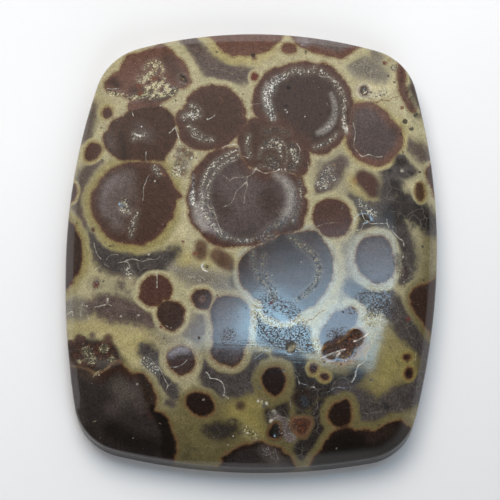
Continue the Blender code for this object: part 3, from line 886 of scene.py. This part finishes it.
# Sparks and flecks are a tint, a strength and round specks with a radius each.
SPARKS = {
    "vug orb": ("bone", 0.9, "155,66,1.6 145.5,78,2 148,87,1 152,95,1 157,93,1 139,80,1 163,77,1"
        " 160,84,1.6 165,90,1.4 168,85,1.2 160.5,105.5,1"),
    "far orbs": ("chalk", 0.9, "135,134,1 137,135.5,1 140,136,1 144.5,134,0.9 134.5,139,0.8"
        " 141.5,126.5,0.7 189,115,1.5 192,114,1 196,114,1 200,116,1 193,119.5,1 184,120.5,0.8"
        " 207,119,0.8 267,96,1.5 268,104,1.3 272,87,1.5 300.5,74,1.2 321,71,1.2 285,110,1.3 287,112,0.9"
        " 305,116.5,0.8"),
    "middle orbs": ("chalk", 0.9, "321,145,1 330,140,0.9 343,127,1.2 347,129,1 347,133,1 344,116,1"
        " 272,140,1.2 280,148,1.2 256.5,169,0.9 279,169.5,0.9 285,169.5,0.9 294,166,0.9 214,166,1.1"
        " 207.5,172.5,1.1 193,193,1.2 191,200,1.2 196,206,1.2 202.5,197.5,0.9 210,211,1 202,208,1"
        " 247,240,1.2"),
    "split orb and right side": ("bone", 0.9, "124.5,202,1.2 126,204,0.9 122,207,1 123,210,1"
        " 163,224,0.8 128.5,228,0.9 137.5,213,0.9 131.5,234,0.9 155,181,0.9 315,179,0.9 317,183,1"
        " 402,169.5,2.2 357.5,230,0.9 393,227,1 403,257,0.9 403,275,0.8 397,275,0.8 404,282,0.8"
        " 148.5,254.5,1.3 127,270,1.2 130,277.5,1.2"),
    "near half": ("bone", 0.9, "87,306,1 121,316,1.2 138.5,315.5,1.2 190,343,0.9 92,348,0.9 85,353,1"
        " 107,349.5,1 99,375,0.9 83,343,0.9 137,384,1.4 171,384,0.8 133,438,0.8 203.5,399.5,1.2"
        " 224,395,1.3 228,398,0.8 233,436,0.9 228,445,0.9 248,433,1.4 274,412,3.2 271,421,2.2"
        " 258,401,1.7 266.5,403.5,1.7 299.5,383,0.8 311,387,0.8 314,387,0.8 336.5,448.5,1 171,328,1"
        " 375.5,259,0.9 301,262,1 323,272,0.8 324.5,285,0.8 272,275,0.8"),
    "pocket of the vug orb": ("ivory", 0.95, "146,77,2.4 150,72,1.7 157,66,1.9 153,84,2.3 158,88,1.9"
        " 162,82,1.9 166,87,2.1 168,92,1.6 161,96,1.9 155,92,1.7 148,88,1.7 143,82,1.5 160,75,1.2"
        " 151,79,1.4 165,78,1.2 156,73,1.2 147,94,1.4 171,89,1.4 150,99,1.3 135,98,1.3 118,94,1.3"
        " 127,95,1.1 163,71,1.3"),
    "crumbly zone": ("cream", 1, "79,361,2.8 84,360,1.6"),
    "lilac specks": ("lilac", 0.8, "173,88,1.8 177,93,1 94,285,1.3 97,283,0.9 302,45,2"),
    "amber specks": ("amber", 0.9, "326,64,1.2 335,165,1.3 402,107.5,1.6 127,211,1 183,79,1 155,68,1"),
    "gap left of the knot": ("bone", 0.8,
        "181,153,1.3 192,158,1.5 197,160,1.2 177,168,1.6 184,168,1.2 180,176,1.3 188,150,1"),
    "cream bead": ("cream", 1, "290,349,3.2 293,347,2"),
}
FLECKS = {
    "pocket of the vug orb": ("maroon", 0.8, "154,69,2 159,79,2.4 149,81,2 163,90,1.8 156,98,1.8 143,88,2"),
    "gap left of the knot": ("rust", 0.8,
        "183,150,1.5 188,156,1.2 180,160,1.2 192,152,1 176,170,1.4 182,174,1.2 196,158,1 174,156,1"),
    "rust": ("rust", 0.9,
        "152.5,78,3 139,86,3.5 140,93,3 161,172,1 164,175,1.5 195,254,3 183,242,1.5 157,78,1.5"),
    "brick": ("brick", 0.9,
        "161,327,1.4 271,303,1.5 96,285,3 72,283,1.5 402,107,1.6 408,319,2 226,451,1.2 385,63,2.2"),
    "dark red": ("maroon", 0.9,
        "93,230,2.3 202,298.5,1.4 164,338,1 79,337,3.6 83,338,3.4 108,339,3.4 70,342,2.5 369.5,201,1"),
    "black on the far half": ("ink", 0.85, "175.5,100.5,1.3 181,75,1.1 183,77,1 186,81,1 288,88,2.4"
        " 286,106,1.6 192.5,172,1 194,181,1.2 194,186,1.2 213,215,1 206,166,1 123,206,1.4 126,208,1"
        " 405,121.5,3 411.5,129,1.9 420,172,1 416,115,2.8 380.5,95.5,1 370.5,92,1.2 394,82,1 388,76,1"
        " 401,134,1.2"),
    "fine black": ("ink", 0.8, "102,160,1 124,160,0.8 101,128,0.8 136.5,116,0.8 217,52,0.9 243,94,0.8"
        " 305.5,51,1 305.5,54,1 253.5,55,2 403,152,1 393,177,0.6 110,246,1.2 113,245,1 77,223,0.9"
        " 202,280,1 219.5,286,1 217,295,0.8 103.5,281.5,1 281,226,1.2 281,230,1.2 422.5,247,1"
        " 423.5,280,1 186,155,0.8"),
    "sooty spot": ("ink", 0.85, "304,398,2.6 305.5,403.5,2.4"),
    "black on the near half": ("ink", 0.8, "278,335,0.8 293,313,0.8 288,313,0.7 333,332,0.9"
        " 336,332.5,0.8 343,312,0.8 337,337.5,1.8 199,338,1 248,385,1 259,387,1.5 284,370,1"
        " 324.5,362.5,1 341,365,0.9 194.5,449,1.2 183,456,1 276,432,4.6 264,405,2.2 288,415,1"
        " 390.5,347.5,1 371,380,1 407.5,362,1.2 384,404,3 387,407,3.6 379,425,1 375,396.5,1.2"
        " 427,288,1.5 207,267,2.2 409,172,1.6 412,174,1.2 176,397,1.6 206,416,1"),
}


def unmarked(name):
    """A blank sheet of marks: the way to each corner's nearest mark, its gap and its tint."""
    return {"way": np.tile([9.0, 9.0, 0.0], (len(corners), 1)), "gap": np.full(len(corners), NOWHERE),
            "tint": np.tile(tint(name), (len(corners), 1))}


def mark(sheet, name, strength, line, width):
    """Enter a thin line or a round speck: the way to its middle in half-widths, its gap and its tint."""
    near = near_to(line, MARK_REACH + width)
    here = spots[near]
    best = np.full(len(near), NOWHERE)
    offset = np.full((len(near), 2), NOWHERE)
    for start, end in list(zip(line, line[1:])) or [(line[0], line[0])]:
        run = end - start
        along = np.clip((here - start) @ run / max(run @ run, 1e-9), 0, 1)
        away = (here - start - along[:, None] * run) / width
        closer = np.hypot(*away.T) < best
        best[closer] = np.hypot(*away[closer].T)
        offset[closer] = away[closer]
    closer = best < np.hypot(*sheet["way"][near, :2].T)
    near = near[closer]
    sheet["way"][near, :2] = offset[closer]
    sheet["way"][near, 2] = strength
    sheet["gap"][near] = best[closer] * width
    sheet["tint"][near] = tint(name)


def mark_lines(sheet, name, half_width, strength, *lines):
    """Enter lines of one tint and width."""
    for line in lines:
        mark(sheet, name, strength, flowing(places(line), False, CURVE_STEP), half_width)


def mark_specks(sheet, growth, name, strength, specks):
    """Enter round specks of one tint."""
    for x, y, radius in places(specks):
        mark(sheet, name, strength, np.array([[x, y]]), radius * growth)


vein_marks = unmarked("bone")
crack_marks = unmarked("ink")
for lines in VEINS.values():
    mark_lines(vein_marks, *lines)
for specks in SPARKS.values():
    mark_specks(vein_marks, 1, *specks)
for specks in FLECKS.values():
    mark_specks(crack_marks, FLECK_GROWTH, *specks)
for lines in CRACKS.values():
    mark_lines(crack_marks, *lines)

# The brown clouds. Where iron soaked into the ground mass without forming a hard edge, it left soft
# brown and purple blots. They lie over the halos of the orbs.
BROWN_CLOUDS = {
    "ground of the soft blot": ("straw", 0.8, 12, "352,180,5 362,192,8 378,196,6 384,184,4",
        "178,252,7 186,262,8"),
    "soft blot": ("maroon", 1, 7, "363,178,8 370,184,9 373,191,7"),
    "ground of the twin blots": ("straw", 0.6, 8, "205,262,8 212,254,6 234,262,6"),
    "twin blots": ("hazel", 1, 7, "201,246,6 201,254,6", "217,255,7 225,261,8 230,267,4"),
    "middles of the twin blots": ("cocoa", 0.5, 8, "201,250,3", "222,260,4"),
    "crumbly zone": ("char", 1, 6, "70,348,6 84,345,7 98,351,10 110,352,8 116,362,6",
        "72,358,9 86,361,9 98,364,8 110,362,6"),
    "crumbs over the zone": ("garnet", 0.7, 6, "80,340,4", "96,346,5 108,346,6", "70,352,4 76,360,4"),
    "beads over the zone": ("maroon", 0.8, 4, "79,337,3", "108,339,5", "92,335,2"),
    "brick patch": ("rust", 0.85, 6, "294,420,3 303,426,7 298,434,3"),
    "rusty dots": ("amber", 0.5, 4, "354,181,3", "195,254,2", "390,60,1", "245,455,1"),
    "brown dots": ("cocoa", 0.7, 5, "176,397,3", "241,406,4", "313,300,0", "408,357,2"),
    "amber edge of the dark red patch": ("amber", 0.55, 5, "366,346,3 360,354,4", "350,360,4 340,364,2"),
    "rust in the dark red patch": ("rust", 0.6, 5, "342,357,3 352,352,5 361,344,4"),
    "black in the dark red patch": ("ink", 0.75, 5, "324,353,2 333,352,3 343,349,5 352,343,5 361,336,4",
        "352,334,2 359,331,2"),
    "rings at the edges": ("ivory", 0.7, 4, "418,180,1 413,185,1 412,193,1 414,201,1 419,208,1 426,209,1",
        "235,144,0 238,148,0"),
    "cream bands of the crystal ring orb": ("cream", 0.7, 7,
        "256,302,3 258,314,4 264,324,3 278,328,2 292,326,3 302,318,3 314,308,4",
        "315,324,3 316,340,4 318,350,3", "338,248,3 340,262,3 340,280,3 334,292,3",
        "346,302,3 358,304,3 362,314,3"),
    "white bead": ("chalk", 0.4, 4, "291,348,4"),
    "haze left of the knot": ("lilac", 0.35, 8, "178,155,3", "186,164,4"),
    "mauve specks": ("mauve", 0.5, 5, "93,336,3", "364,91,4"),
}
BLACK_SPOT_CLOUD = ("slate", 1, 10, "400,160,6 404,170,10")

for patch in BROWN_CLOUDS.values():
    wash(*patch)
cloud(*BLACK_SPOT_CLOUD)

# The finish. Cut with ever finer grit and polished to a high gloss, except in pits, crumbly spots
# and druses, which stay dull. Fine flaws in the polish break up the window's reflection.
UNPOLISHED = {
    "dark red patch": "324,353,1 333,352,3 343,350,5 352,344,5 361,337,3",
    "crumbly zone": "73,345,6 85,342,6 96,350,7 108,348,6 116,360,5",
}
UNPOLISHED_FEATHER = 4
FLAWS = {
    "under the crystal ring orb": "258,305,5 266,325,10 282,338,10 300,330,8",
    "foot of the crystal ring orb": "268,300,5 290,310,5 300,320,6",
    "band under the oval orb": "362,300,6 378,304,12 392,312,9",
    "blue orb": "332,334,3 342,332,3",
    "tip of the blue orb": "352,310,4",
    "right of the oval orb's foot": "375,292,8 388,296,7",
    "over the cream bead": "298,345,7 312,346,6",
    "right of the blue orb": "372,318,8",
    "middle of the double orb": "228,335,5",
}
FLAWS_FEATHER = 9
FACE_FADE = 14


def covered_by(chains, feather):
    """How far soft chains cover each corner of the mesh."""
    covered = np.zeros(len(corners))
    for chain in chains.values():
        near, cover = chain_cover(chain, feather)
        covered[near] = np.maximum(covered[near], cover)
    return covered


def keep(name, values):
    """Store values for every corner of the mesh under a name that the material reads."""
    kind, field = ("FLOAT", "value") if values.ndim == 1 else ("FLOAT_VECTOR", "vector")
    attribute = stone.data.attributes.new(name, kind, "POINT")
    attribute.data.foreach_set(field, np.ascontiguousarray(values, np.float32).ravel())


on_face = ease(1 - below_face / FACE_FADE)
keep("ground_tint", ground)
keep("smoke", smoke)
keep("smoke_tint", smoke_tint)
keep("orb_gap", outside)
keep("orb_tint", orb_tint)
keep("fibre", fibre)
keep("druse", druse * on_face)
keep("frost", frost * on_face)
keep("druse_tint", druse_tint)
for part in ("way", "gap", "tint"):
    keep("vein_" + part, vein_marks[part])
    keep("crack_" + part, crack_marks[part])
keep("dull", covered_by(UNPOLISHED, UNPOLISHED_FEATHER))
keep("flaws", covered_by(FLAWS, FLAWS_FEATHER) * on_face)

GRAIN_BALANCE = 0.99
jasper = bpy.data.materials.new("polished_jasper")
jasper.use_nodes = True
tree = jasper.node_tree
surface = tree.nodes["Principled BSDF"]
stone_place = tree.nodes.new("ShaderNodeTexCoord").outputs["Object"]


def feed(socket, value):
    """Link a socket to another node's output, or set it to a number or colour."""
    if isinstance(value, bpy.types.NodeSocket):
        tree.links.new(value, socket)
    else:
        socket.default_value = value


def reckon(operation, *values):
    """A math node's result."""
    node = tree.nodes.new("ShaderNodeMath")
    node.operation = operation
    for socket, value in zip(node.inputs, values):
        feed(socket, value)
    return node.outputs[0]


def times(first, *factors):
    """The product of sockets and numbers."""
    for factor in factors:
        first = reckon("MULTIPLY", first, factor)
    return first


def plus(first, *terms):
    """The sum of sockets and numbers."""
    for term in terms:
        first = reckon("ADD", first, term)
    return first


def most(first, *values):
    """The largest of some sockets."""
    for value in values:
        first = reckon("MAXIMUM", first, value)
    return first


def step_between(value, start, end):
    """A smooth step from 0 at start to 1 at end."""
    node = tree.nodes.new("ShaderNodeMapRange")
    node.interpolation_type = "SMOOTHSTEP"
    for name, setting in (("Value", value), ("From Min", start), ("From Max", end)):
        feed(node.inputs[name], setting)
    return node.outputs[0]


def blend_colours(share, first, second):
    """One colour laid over another."""
    node = tree.nodes.new("ShaderNodeMix")
    node.data_type = "RGBA"
    for name, value in (("Factor_Float", share), ("A_Color", first), ("B_Color", second)):
        feed(next(socket for socket in node.inputs if socket.identifier == name), value)
    return next(socket for socket in node.outputs if socket.identifier == "Result_Color")


def scaled(colour, factor):
    """A colour made lighter or darker by a factor."""
    node = tree.nodes.new("ShaderNodeVectorMath")
    node.operation = "SCALE"
    feed(node.inputs[0], colour)
    feed(node.inputs["Scale"], factor)
    return node.outputs[0]


def stored(name, output="Vector"):
    """What keep() stored under a name."""
    node = tree.nodes.new("ShaderNodeAttribute")
    node.attribute_name = name
    return node.outputs[output]


def grains(scale, detail, stretch=(1, 1, 1), vector=None):
    """Noise on the stone, with its scale in grains per millimetre, or noise on another vector."""
    mapping = tree.nodes.new("ShaderNodeMapping")
    mapping.inputs["Scale"].default_value = [1000 * s for s in stretch] if vector is None else stretch
    feed(mapping.inputs["Vector"], vector or stone_place)
    node = tree.nodes.new("ShaderNodeTexNoise")
    node.inputs["Scale"].default_value = scale
    node.inputs["Detail"].default_value = detail
    feed(node.inputs["Vector"], mapping.outputs[0])
    return node.outputs["Fac"]


def cells(scale, feature="F1", vector=stone_place):
    """Cells on the stone, with their scale in cells per millimetre."""
    node = tree.nodes.new("ShaderNodeTexVoronoi")
    node.feature = feature
    node.inputs["Scale"].default_value = scale * 1000
    feed(node.inputs["Vector"], vector)
    return node


def gap_and_chances(scale):
    """The distance to the middle of a cell, and two random numbers of that cell."""
    node = cells(scale)
    chances = tree.nodes.new("ShaderNodeSeparateColor")
    feed(chances.inputs[0], node.outputs["Color"])
    return node.outputs["Distance"], chances.outputs[0], chances.outputs[1]


def swung(noise, swing):
    """Noise turned into a number round 0."""
    return reckon("MULTIPLY_ADD", noise, 2 * swing, -swing)


def mottled(*swings):
    """Light and dark of the grain: the product of factors round 1, each from a noise and its swing."""
    factors = [reckon("MULTIPLY_ADD", noise, 2 * swing, GRAIN_BALANCE - swing) for noise, swing in swings]
    return times(*factors)


def marked(kind, ragged):
    """How far a vein or a crack covers a point."""
    way = tree.nodes.new("ShaderNodeSeparateXYZ")
    feed(way.inputs[0], stored(kind + "_way"))
    across, along, strength = way.outputs
    length = reckon("SQRT", plus(times(across, across), times(along, along)))
    line = step_between(plus(length, ragged), 1.3, 0.3)
    close = step_between(stored(kind + "_gap", "Fac"), 3.4, 2.4)
    return times(line, close, strength)


def lay(under, share, name):
    """A tint laid over a colour."""
    return blend_colours(share, under, (*tint(name), 1))


fine = grains(7.0, 3)
grit = grains(13.0, 2)
middling = grains(1.9, 3)
broad = grains(0.5, 2)
rays = grains(2.2, 2, vector=stored("fibre"))

# the ground mass with its smoky patches, whose borders drift
smoky = stored("smoke", "Fac")
unsettled = times(smoky, reckon("SUBTRACT", 1.0, smoky), 4.0)
drift = plus(swung(fine, 0.35), swung(middling, 0.65))
stained = step_between(reckon("MULTIPLY_ADD", drift, unsettled, smoky), 0.12, 1.0)
ground_light = mottled((middling, 0.34), (fine, 0.42), (grit, 0.75))
smoke_light = mottled((middling, 0.6), (fine, 0.8), (grit, 1.1))
colour = blend_colours(stained, scaled(stored("ground_tint"), ground_light),
                       scaled(stored("smoke_tint"), smoke_light))

# a net of hair cracks in the smoky patches
NET_WOBBLE = (0.0005, 0.0005, 0.0005)
wobble = tree.nodes.new("ShaderNodeTexNoise")
wobble.inputs["Scale"].default_value = 1800
feed(wobble.inputs["Vector"], stone_place)
bent = tree.nodes.new("ShaderNodeVectorMath")
bent.operation = "MULTIPLY_ADD"
feed(bent.inputs[0], wobble.outputs["Color"])
bent.inputs[1].default_value = NET_WOBBLE
feed(bent.inputs[2], stone_place)
net_gap = cells(1.0, "DISTANCE_TO_EDGE", bent.outputs[0]).outputs["Distance"]
crazing = times(step_between(net_gap, 0.05, 0.0), stained, step_between(broad, 0.42, 0.62))
colour = lay(colour, times(crazing, 0.4), "mist")

# the orbs with their ragged edges and brown fringes
ragged_edge = plus(stored("orb_gap", "Fac"), swung(grains(1.4, 2), 2.0), swung(fine, 1.3))
in_orb = step_between(ragged_edge, 0.7, -0.7)
orb_light = mottled((rays, 0.40), (grit, 1.1), (fine, 0.55), (middling, 0.25))
fringe = times(step_between(ragged_edge, 2.8, 0.8), step_between(ragged_edge, -2.4, 0.2))
colour = blend_colours(in_orb, colour, scaled(stored("orb_tint"), orb_light))
colour = lay(colour, times(fringe, 0.5), "fringe")

# the druses: a frosting, dark gaps painted as shade between the crystals, and bright crystals
sown = stored("druse", "Fac")
_, chance, second_chance = gap_and_chances(11.0)
colour = blend_colours(times(stored("frost", "Fac"), fine, 0.5), colour, stored("druse_tint"))
tooth = plus(times(chance, 0.5), times(fine, 0.5), times(grit, 0.5))
in_druse = step_between(sown, 0.05, 0.3)
bright = times(step_between(plus(tooth, times(sown, 0.3)), 0.98, 1.14), in_druse)
dark = times(step_between(plus(tooth, times(sown, -0.15)), 0.68, 0.50), in_druse)
# painted shade: ink in the hollow gaps between the crystals
colour = lay(colour, times(dark, 0.7), "ink")
sheen = reckon("MULTIPLY_ADD", second_chance, 1.0, 0.55)
colour = blend_colours(times(bright, 0.85), colour, scaled(stored("druse_tint"), sheen))

# scattered dark motes, pale glints and pinholes darkened with painted shade
mote_gap, chance, second_chance = gap_and_chances(1.9)
motes = times(step_between(mote_gap, 0.14, 0.06), step_between(chance, 0.78, 0.95))
glints = times(step_between(mote_gap, 0.11, 0.04), step_between(second_chance, 0.86, 0.96))
colour = lay(colour, times(motes, 0.5), "shade")
colour = lay(colour, times(glints, 0.4), "bone")
pinhole_gap, chance, _ = gap_and_chances(3.4)
pinholes = step_between(plus(pinhole_gap, swung(grit, 0.1)), 0.22, 0.10)
pinholes = times(pinholes, step_between(chance, 0.55, 0.8))
# painted shade: the pinholes are darkened as though shade lay in them
colour = lay(colour, times(pinholes, 0.35), "shade")

# the veins, beaded with white, and the cracks
ragged = plus(swung(grit, 0.8), swung(grains(3.0, 2), 1.2))
crack = marked("crack", ragged)
beads = step_between(plus(grit, times(grains(2.4, 2), 1.2)), 0.95, 1.25)
vein = times(marked("vein", ragged), reckon("MULTIPLY_ADD", beads, 0.75, 0.2))
colour = blend_colours(crack, colour, stored("crack_tint"))
colour = blend_colours(vein, colour, stored("vein_tint"))

# the ground wall, made darker than the face by painted shade, with a painted highlight along its top, and
# the back
PAINTED_HIGHLIGHT_TOP = GIRDLE_HEIGHT - 0.0001
PAINTED_HIGHLIGHT_FOOT = GIRDLE_HEIGHT - 0.0003
WALL_PAINTED_SHADE = 0.55
stone_xyz = tree.nodes.new("ShaderNodeSeparateXYZ")
feed(stone_xyz.inputs[0], stone_place)
height = stone_xyz.outputs[2]
off_face = step_between(height, GIRDLE_HEIGHT, GIRDLE_HEIGHT - EDGE_ROUND)
on_back = step_between(height, BEVEL_HEIGHT, BEVEL_HEIGHT / 2)
on_wall = times(off_face, reckon("SUBTRACT", 1, on_back))
painted_edge_highlight = times(off_face, step_between(height, PAINTED_HIGHLIGHT_FOOT, PAINTED_HIGHLIGHT_TOP))
# painted shade: the wall takes the face's colour, darkened by this factor
colour = blend_colours(times(on_wall, 0.9), colour, scaled(colour, WALL_PAINTED_SHADE))
wall_grain = scaled(tint("umber"), mottled((fine, 0.5)))
colour = blend_colours(times(off_face, 0.35), colour, wall_grain)
# painted highlight: a pale line along the top of the wall for the light caught on the rounded girdle edge
colour = lay(colour, times(painted_edge_highlight, 0.3), "mist")
feed(surface.inputs["Base Color"], colour)

# the polish and what it leaves dull
STONE_IOR = 1.54
POLISH_ROUGHNESS = 0.045
DULL_ROUGHNESS = 0.55
dull_wall = times(off_face, reckon("MULTIPLY_ADD", on_back, 0.4, 0.4))
unpolished = most(stored("dull", "Fac"), dull_wall, crack, times(vein, 0.6), times(dark, 0.4),
                  times(pinholes, 0.5))
flawed = times(step_between(grains(9.5, 1, stretch=(0.8, 1.2, 1)), 0.50, 0.56), stored("flaws", "Fac"))
hazed = most(unpolished, times(flawed, 0.9))
feed(surface.inputs["Roughness"], plus(times(hazed, DULL_ROUGHNESS), times(fine, 0.06), POLISH_ROUGHNESS))
surface.inputs["IOR"].default_value = STONE_IOR

# the faint relief of the polish
MICROMETRE = 0.000001
scratches = grains(1.0, 1, stretch=(0.25, 9, 1))
relief = plus(times(grains(1.1, 1), 2.2), times(fine, 0.3), times(scratches, 0.8),
              times(unpolished, -2.0), times(flawed, -0.6))
bump = tree.nodes.new("ShaderNodeBump")
bump.inputs["Strength"].default_value = 1.0
bump.inputs["Distance"].default_value = MICROMETRE
feed(bump.inputs["Height"], relief)
feed(surface.inputs["Normal"], bump.outputs[0])
stone.data.materials.append(jasper)

# The floor. A sheet of white paper with painted shade that makes it a touch darker towards the near
# right, where less light falls.
FLOOR_SIZE = 3.0
PAPER_TONE = 0.90
PAINTED_LIGHT_PER_METRE_AWAY = 5.2
PAINTED_LIGHT_PER_METRE_RIGHT = -1.9
PAPER_DARKEST = 0.70
PAPER_LIGHTEST = 0.985
PAPER_WHITE = (1.0, 1.0, 1.01)
PAPER_ROUGHNESS = 0.9

bm = bmesh.new()
bmesh.ops.create_grid(bm, x_segments=1, y_segments=1, size=FLOOR_SIZE / 2)
floor_mesh = bpy.data.meshes.new("paper_floor")
bm.to_mesh(floor_mesh)
bm.free()
floor = bpy.data.objects.new("paper_floor", floor_mesh)
bpy.context.scene.collection.objects.link(floor)
paper = bpy.data.materials.new("white_paper")
paper.use_nodes = True
tree = paper.node_tree
paper_place = tree.nodes.new("ShaderNodeSeparateXYZ")
feed(paper_place.inputs[0], tree.nodes.new("ShaderNodeTexCoord").outputs["Object"])
toward_right, toward_far, _ = paper_place.outputs
paper_tone_and_painted_light = plus(times(toward_far, PAINTED_LIGHT_PER_METRE_AWAY),
                  times(toward_right, PAINTED_LIGHT_PER_METRE_RIGHT), PAPER_TONE)
paper_tone_and_painted_light = reckon("MINIMUM", most(paper_tone_and_painted_light, PAPER_DARKEST), PAPER_LIGHTEST)
sheet = tree.nodes["Principled BSDF"]
feed(sheet.inputs["Base Color"], scaled(PAPER_WHITE, paper_tone_and_painted_light))
sheet.inputs["Roughness"].default_value = PAPER_ROUGHNESS
floor.data.materials.append(paper)

# The light. A bluish window overhead, whose crisp near edge shows in the polish, a pale room behind
# the stone, a large warm softbox from the far left and a white card on the near side.
WINDOW_GLOW = (3.5, 5.8, 7.9, 1)
WINDOW_UPPER_GLOW = (3.3, 4.5, 5.6, 1)
WINDOW_HOT_SPOT = (6.4, 10.6, 13.8, 1)
# degrees from straight above
WINDOW_NEAR_EDGE = 4.9
WINDOW_CORNER = 6.0
WINDOW_SLANT = 0.48
WINDOW_RIGHT_EDGE = 33.0
WINDOW_RIGHT_FADE = 8
WINDOW_LEFT_EDGE = -10.0
WINDOW_LEFT_FADE = 7
WINDOW_FAR_FADE = 4.5
# slope and start of the two parts of the far edge
WINDOW_FAR_EDGES = ((0.6, 11.2), (0.21, 12.5))
HOT_SPOT_EAST = 3.0
HOT_SPOT_NORTH = 6.8
HOT_SPOT_NARROWNESS = (0.23, 0.28)
ROOM_DIM = 0.05
ROOM_FAR_SIDE = 0.70
ROOM_LEFT_SIDE = 0.12
ROOM_NEAR_RIGHT = 0.6
ROOM_WHITE = (1.0, 0.98, 0.96)

world = bpy.data.worlds.new("studio")
bpy.context.scene.world = world
world.use_nodes = True
tree = world.node_tree
direction = tree.nodes.new("ShaderNodeSeparateXYZ")
feed(direction.inputs[0], tree.nodes.new("ShaderNodeTexCoord").outputs["Generated"])
east, north, upward = direction.outputs
upright = most(upward, 0.01)
eastward = reckon("DEGREES", reckon("ARCTANGENT", reckon("DIVIDE", east, upright)))
northward = reckon("DEGREES", reckon("ARCTANGENT", reckon("DIVIDE", north, upright)))
slant = times(most(reckon("SUBTRACT", eastward, WINDOW_CORNER), 0), WINDOW_SLANT)
past_edge = reckon("SUBTRACT", northward, plus(slant, WINDOW_NEAR_EDGE))
pane = times(step_between(past_edge, 0, 0.6), step_between(upward, 0.2, 0.5),
             step_between(eastward, WINDOW_RIGHT_EDGE, WINDOW_RIGHT_EDGE - WINDOW_RIGHT_FADE),
             step_between(eastward, WINDOW_LEFT_EDGE, WINDOW_LEFT_EDGE + WINDOW_LEFT_FADE))
far_edge = reckon("MINIMUM", *(reckon("MULTIPLY_ADD", eastward, *edge) for edge in WINDOW_FAR_EDGES))
fade = reckon("SUBTRACT", northward, far_edge)
glow = times(pane, step_between(fade, WINDOW_FAR_FADE, -WINDOW_FAR_FADE))
hot_east = times(reckon("SUBTRACT", eastward, HOT_SPOT_EAST), HOT_SPOT_NARROWNESS[0])
hot_north = times(reckon("SUBTRACT", northward, HOT_SPOT_NORTH), HOT_SPOT_NARROWNESS[1])
off_spot = plus(times(hot_east, hot_east), times(hot_north, hot_north))
hot = times(pane, step_between(off_spot, 1.6, 0.1))
far_side = times(step_between(north, 0.12, 0.55), step_between(upward, -0.2, 0.7))
left_side = times(step_between(east, -0.3, -0.8), step_between(north, -0.3, 0.3))
near_right = times(step_between(reckon("SUBTRACT", east, north), 1.0, 1.15),
                   step_between(upward, 0.45, 0.15))
room = plus(times(far_side, ROOM_FAR_SIDE), times(left_side, ROOM_LEFT_SIDE),
            times(near_right, ROOM_NEAR_RIGHT), ROOM_DIM)
window_colour = blend_colours(step_between(fade, -6, 0), WINDOW_GLOW, WINDOW_UPPER_GLOW)
light_colour = blend_colours(glow, scaled(ROOM_WHITE, room), window_colour)
light_colour = blend_colours(hot, light_colour, WINDOW_HOT_SPOT)
feed(tree.nodes["Background"].inputs["Color"], light_colour)
bpy.context.scene.view_settings.view_transform = "Standard"


def soft_light(name, place, size, watts, colour):
    """A round soft light that faces the stone and stays out of the picture and the polish."""
    light = bpy.data.objects.new(name, bpy.data.lights.new(name, "AREA"))
    bpy.context.scene.collection.objects.link(light)
    light.data.shape = "DISK"
    light.data.size = size
    light.data.energy = watts
    light.data.color = colour
    light.location = place
    light.rotation_euler = Vector(place).to_track_quat("Z", "Y").to_euler()
    light.visible_camera = False
    light.visible_glossy = False


soft_light("softbox", place=(-0.08, 0.22, 0.36), size=0.36, watts=1.33, colour=(1.0, 0.94, 0.88))
soft_light("white_card", place=(0.10, -0.31, 0.17), size=0.34, watts=0.60, colour=(0.90, 0.95, 1.0))
